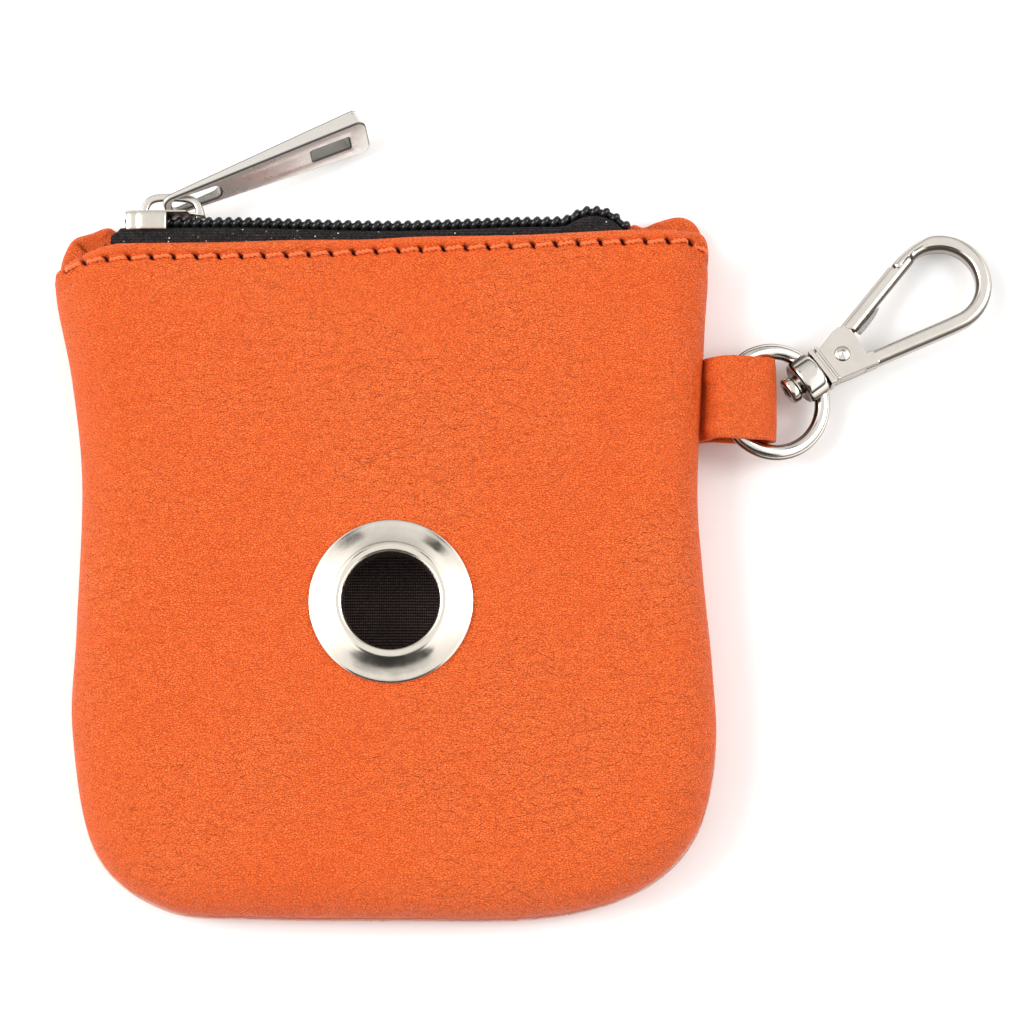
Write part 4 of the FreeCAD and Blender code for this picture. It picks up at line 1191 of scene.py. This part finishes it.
def gate_piece():
    """Spring gate: rounded bar from the cheeks to the lapped step at the nose."""
    path = resample(np.array([(15.75, 2.42), (28.6, 5.98)]), np.linspace(0, 13.33, 40))
    bar = swept_bar(path, 1.22, HALF - 0.08, start=lambda t: -0.62 * t - 0.18 * t * t,
                    end=lambda t: 1.55 - 3.05 * ramped(t, -0.04, 0.2))
    disc = about_pin([(1.26, -0.8), (2.05, -0.8), (2.05, 0.8), (1.26, 0.8)])
    tongue = slab([(12.6, 1.7), (14.9, 3.1), (17.2, 3.7), (17.4, 2.3), (15.2, 0.2), (14.0, -1.2)],
                  -0.8, 0.8)
    piece("gate_tongue", joined([disc, tongue]), HOOK_MAT, "gate", (), (0.08, 2, 40))
    piece("gate_bar", bar, HOOK_MAT, "gate", ("gate",))


def rivet_piece():
    """Rivet with a low domed head on both cheeks, which the gate turns on."""
    line = catmull([(0.02, 2.2), (0.6, 2.16), (1.0, 2.02), (1.22, 1.78), (1.2, 1.4), (1.2, 0.0),
                    (1.2, -1.4), (1.22, -1.78), (1.0, -2.02), (0.6, -2.16), (0.02, -2.2),
                    (0.02, 0.0)], 5, True)
    line[:, 0] = np.maximum(line[:, 0], 0.02)
    piece("gate_rivet", about_pin(line), HOOK_MAT, "snap_hook", ("gate_pin",))


def spring_piece():
    """Free end of the gate's leaf spring, standing a little out of its channel."""
    out = [(16.9, 1.35), (17.2, 0.90), (19.0, 1.32), (20.8, 1.96), (21.9, 2.55), (21.0, 2.55)]
    piece("leaf_spring", slab(out, -0.7, 0.7), STEEL_MAT, "gate",
          ("gate_spring",), (0.05, 1, 40))


ring_with_boss()
riveted_post()
hook_piece()
gate_piece()
rivet_piece()
spring_piece()


# ---- tab ------------------------------------------------------------------------------
TAB_Y, TAB_WIDE = 31.15, 12.5


def tab_strap():
    """One strip of leather folded round the ring, its two ends caught in the seam."""
    top = [(43.6, 5.1), (45.2, 5.25), (46.6, 6.1), (47.6, 8.2), (49.0, 9.55), (50.6, 9.62),
           (52.8, 9.05), (55.2, 8.35), (56.6, 7.35), (57.05, 5.9), (56.5, 4.4), (55.2, 3.75),
           (52.6, 4.25), (50.4, 4.55), (48.6, 4.35), (46.9, 3.95), (45.2, 3.85), (43.6, 3.9)]
    line = catmull(top, 9, False)
    nrm = left_of(tangents(line))
    half = LEATHER / 2
    n_y = 42
    near_seam = np.exp(-((line[:, 0] - 47.6) / 2.2) ** 2)
    rows_out, rows_in = [], []
    for y in np.linspace(TAB_Y - TAB_WIDE / 2, TAB_Y + TAB_WIDE / 2, n_y):
        u = (y - TAB_Y) / TAB_WIDE + 0.5
        wr = np.array([noise.noise(Vector((p[0] * 0.10, y * 0.55, p[1] * 0.1))) for p in line])
        lift = 0.45 * wr * near_seam
        edge = 0.16 * (2 * u - 1) ** 4
        out = line + nrm * (half - edge + lift)[:, None]
        inn = line + nrm * (-half + edge * 0.6 + lift)[:, None]
        yy = TAB_Y + (y - TAB_Y) * (1 - 0.03 * near_seam)
        rows_out.append(np.column_stack([out[:, 0], yy, out[:, 1]]))
        rows_in.append(np.column_stack([inn[:, 0], yy, inn[:, 1]]))
    a, b = np.array(rows_out), np.array(rows_in)
    m = len(line)
    verts = list(a.reshape(-1, 3)) + list(b.reshape(-1, 3))
    base = n_y * m
    faces = grid_faces(n_y, m) + [tuple(reversed([i + base for i in f])) for f in grid_faces(n_y, m)]
    for j in range(m - 1):
        faces.append((j, base + j, base + j + 1, j + 1))
        last = (n_y - 1) * m
        faces.append((last + j + 1, base + last + j + 1, base + last + j, last + j))
    for i in range(n_y - 1):
        faces.append(((i + 1) * m, base + (i + 1) * m, base + i * m, i * m))
        faces.append((i * m + m - 1, base + i * m + m - 1, base + (i + 1) * m + m - 1,
                      (i + 1) * m + m - 1))
    ob = mesh_object("tab_strap", verts, faces)
    finish_piece(ob, TAB_MAT, None, ("tab_anchor", "tab_loop"))
    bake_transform(ob)
    return ob


tab_strap()


# ---- floor, light, camera ---------------------------------------------------------------
def make_floor():
    """Large pale sheet just under the pouch."""
    me = bpy.data.meshes.new("floor")
    s = 4.0
    me.from_pydata([(-s, -s, 0), (s, -s, 0), (s, s, 0), (-s, s, 0)], [], [(0, 1, 2, 3)])
    ob = bpy.data.objects.new("floor", me)
    bpy.context.scene.collection.objects.link(ob)
    ob.location.z = -0.0002
    n = Nodes("floor")
    paper = n.noise(n.mapping(), 300, 3)
    c = n.ramp(paper, "Fac", [(0.3, 0.965), (0.7, 0.985)])
    n.link(c, "Color", n.bsdf, "Base Color")
    n.bsdf.inputs["Roughness"].default_value = 0.9
    n.bsdf.inputs["Specular IOR Level"].default_value = 0.1
    n.bsdf.inputs["Emission Color"].default_value = (0.94, 0.98, 1.0, 1)
    n.bsdf.inputs["Emission Strength"].default_value = 0.035
    me.materials.append(n.mat)


def area_light(name, at, size, power):
    """Rectangular softbox aimed at the origin."""
    data = bpy.data.lights.new(name, "AREA")
    data.shape = "RECTANGLE"
    data.size, data.size_y = size
    data.energy = power
    ob = bpy.data.objects.new(name, data)
    bpy.context.scene.collection.objects.link(ob)
    ob.location = at
    ob.rotation_euler = (-Vector(at)).to_track_quat("-Z", "Y").to_euler()


WORLD_TOP, WORLD_SIDES = 0.87, 0.48


def make_world():
    """Pale studio tent: bright at both sides, greyer overhead and toward the two ends, with
    the few dark gaps whose reflections show in the eyelet."""
    world = bpy.data.worlds.new("studio")
    bpy.context.scene.world = world
    world.use_nodes = True
    tree = world.node_tree
    tree.nodes.clear()
    out = tree.nodes.new("ShaderNodeOutputWorld")
    bg = tree.nodes.new("ShaderNodeBackground")
    tree.links.new(bg.outputs["Background"], out.inputs["Surface"])
    where = tree.nodes.new("ShaderNodeTexCoord")
    sep = tree.nodes.new("ShaderNodeSeparateXYZ")
    tree.links.new(where.outputs["Generated"], sep.inputs["Vector"])

    def calc(op, a, b=0.0):
        node = tree.nodes.new("ShaderNodeMath")
        node.operation = op
        for i, value in enumerate((a, b)):
            if isinstance(value, float):
                node.inputs[i].default_value = value
            else:
                tree.links.new(value, node.inputs[i])
        return node.outputs[0]

    def step(value, low, high, at_low=0.0, at_high=1.0):
        node = tree.nodes.new("ShaderNodeMapRange")
        node.interpolation_type = "SMOOTHSTEP"
        tree.links.new(value, node.inputs["Value"])
        for key, v in zip(("From Min", "From Max", "To Min", "To Max"), (low, high, at_low, at_high)):
            node.inputs[key].default_value = v
        return node.outputs["Result"]

    x, y, z = (sep.outputs[k] for k in "XYZ")
    ax, ay = calc("ABSOLUTE", x), calc("ABSOLUTE", y)
    side = calc("MULTIPLY", step(ax, 0.34, 0.75), step(z, 0.12, 0.3))
    light = calc("ADD", calc("MULTIPLY", side, WORLD_SIDES), WORLD_TOP)
    light = calc("MULTIPLY", light, step(ay, 0.55, 0.95, 1.0, 0.7))
    light = calc("MULTIPLY", light, step(z, 0.16, 0.36, 0.05, 1.0))
    near_gap = calc("MULTIPLY", step(y, -0.52, -0.46, 1.0, 0.0),
                    calc("MULTIPLY", step(ax, 0.48, 0.55, 1.0, 0.0),
                         calc("MULTIPLY", step(z, 0.30, 0.36), step(z, 0.77, 0.82, 1.0, 0.0))))
    far_gap = calc("MULTIPLY", step(y, 0.5, 0.56),
                   calc("MULTIPLY", calc("MULTIPLY", step(ax, 0.26, 0.30),
                                         step(ax, 0.44, 0.48, 1.0, 0.0)),
                        calc("MULTIPLY", step(z, 0.60, 0.65), step(z, 0.74, 0.78, 1.0, 0.0))))
    for gap in (near_gap, far_gap):
        light = calc("MULTIPLY", light, calc("SUBTRACT", 1.0, calc("MULTIPLY", gap, 0.95)))
    bg.inputs["Color"].default_value = (1.0, 0.985, 0.965, 1)
    tree.links.new(light, bg.inputs["Strength"])


make_floor()
make_world()
area_light("softbox_left", (-0.85, 0.10, 0.70), (0.50, 0.8), 9.0)
area_light("softbox_right", (0.95, 0.15, 0.70), (0.50, 0.8), 6.0)

cam_data = bpy.data.cameras.new("camera")
cam = bpy.data.objects.new("camera", cam_data)
bpy.context.scene.collection.objects.link(cam)
ELEVATION, RANGE = math.radians(82), 0.52
TARGET = Vector((0.01782, 0.01509, 0.0))
cam.location = TARGET + Vector((0, -math.cos(ELEVATION), math.sin(ELEVATION))) * RANGE
cam.rotation_euler = (math.pi / 2 - ELEVATION, 0, 0)
cam_data.sensor_width = 36
cam_data.lens = 120.65
cam_data.clip_start = 0.01
bpy.context.scene.camera = cam
bpy.context.scene.view_settings.view_transform = "Standard"
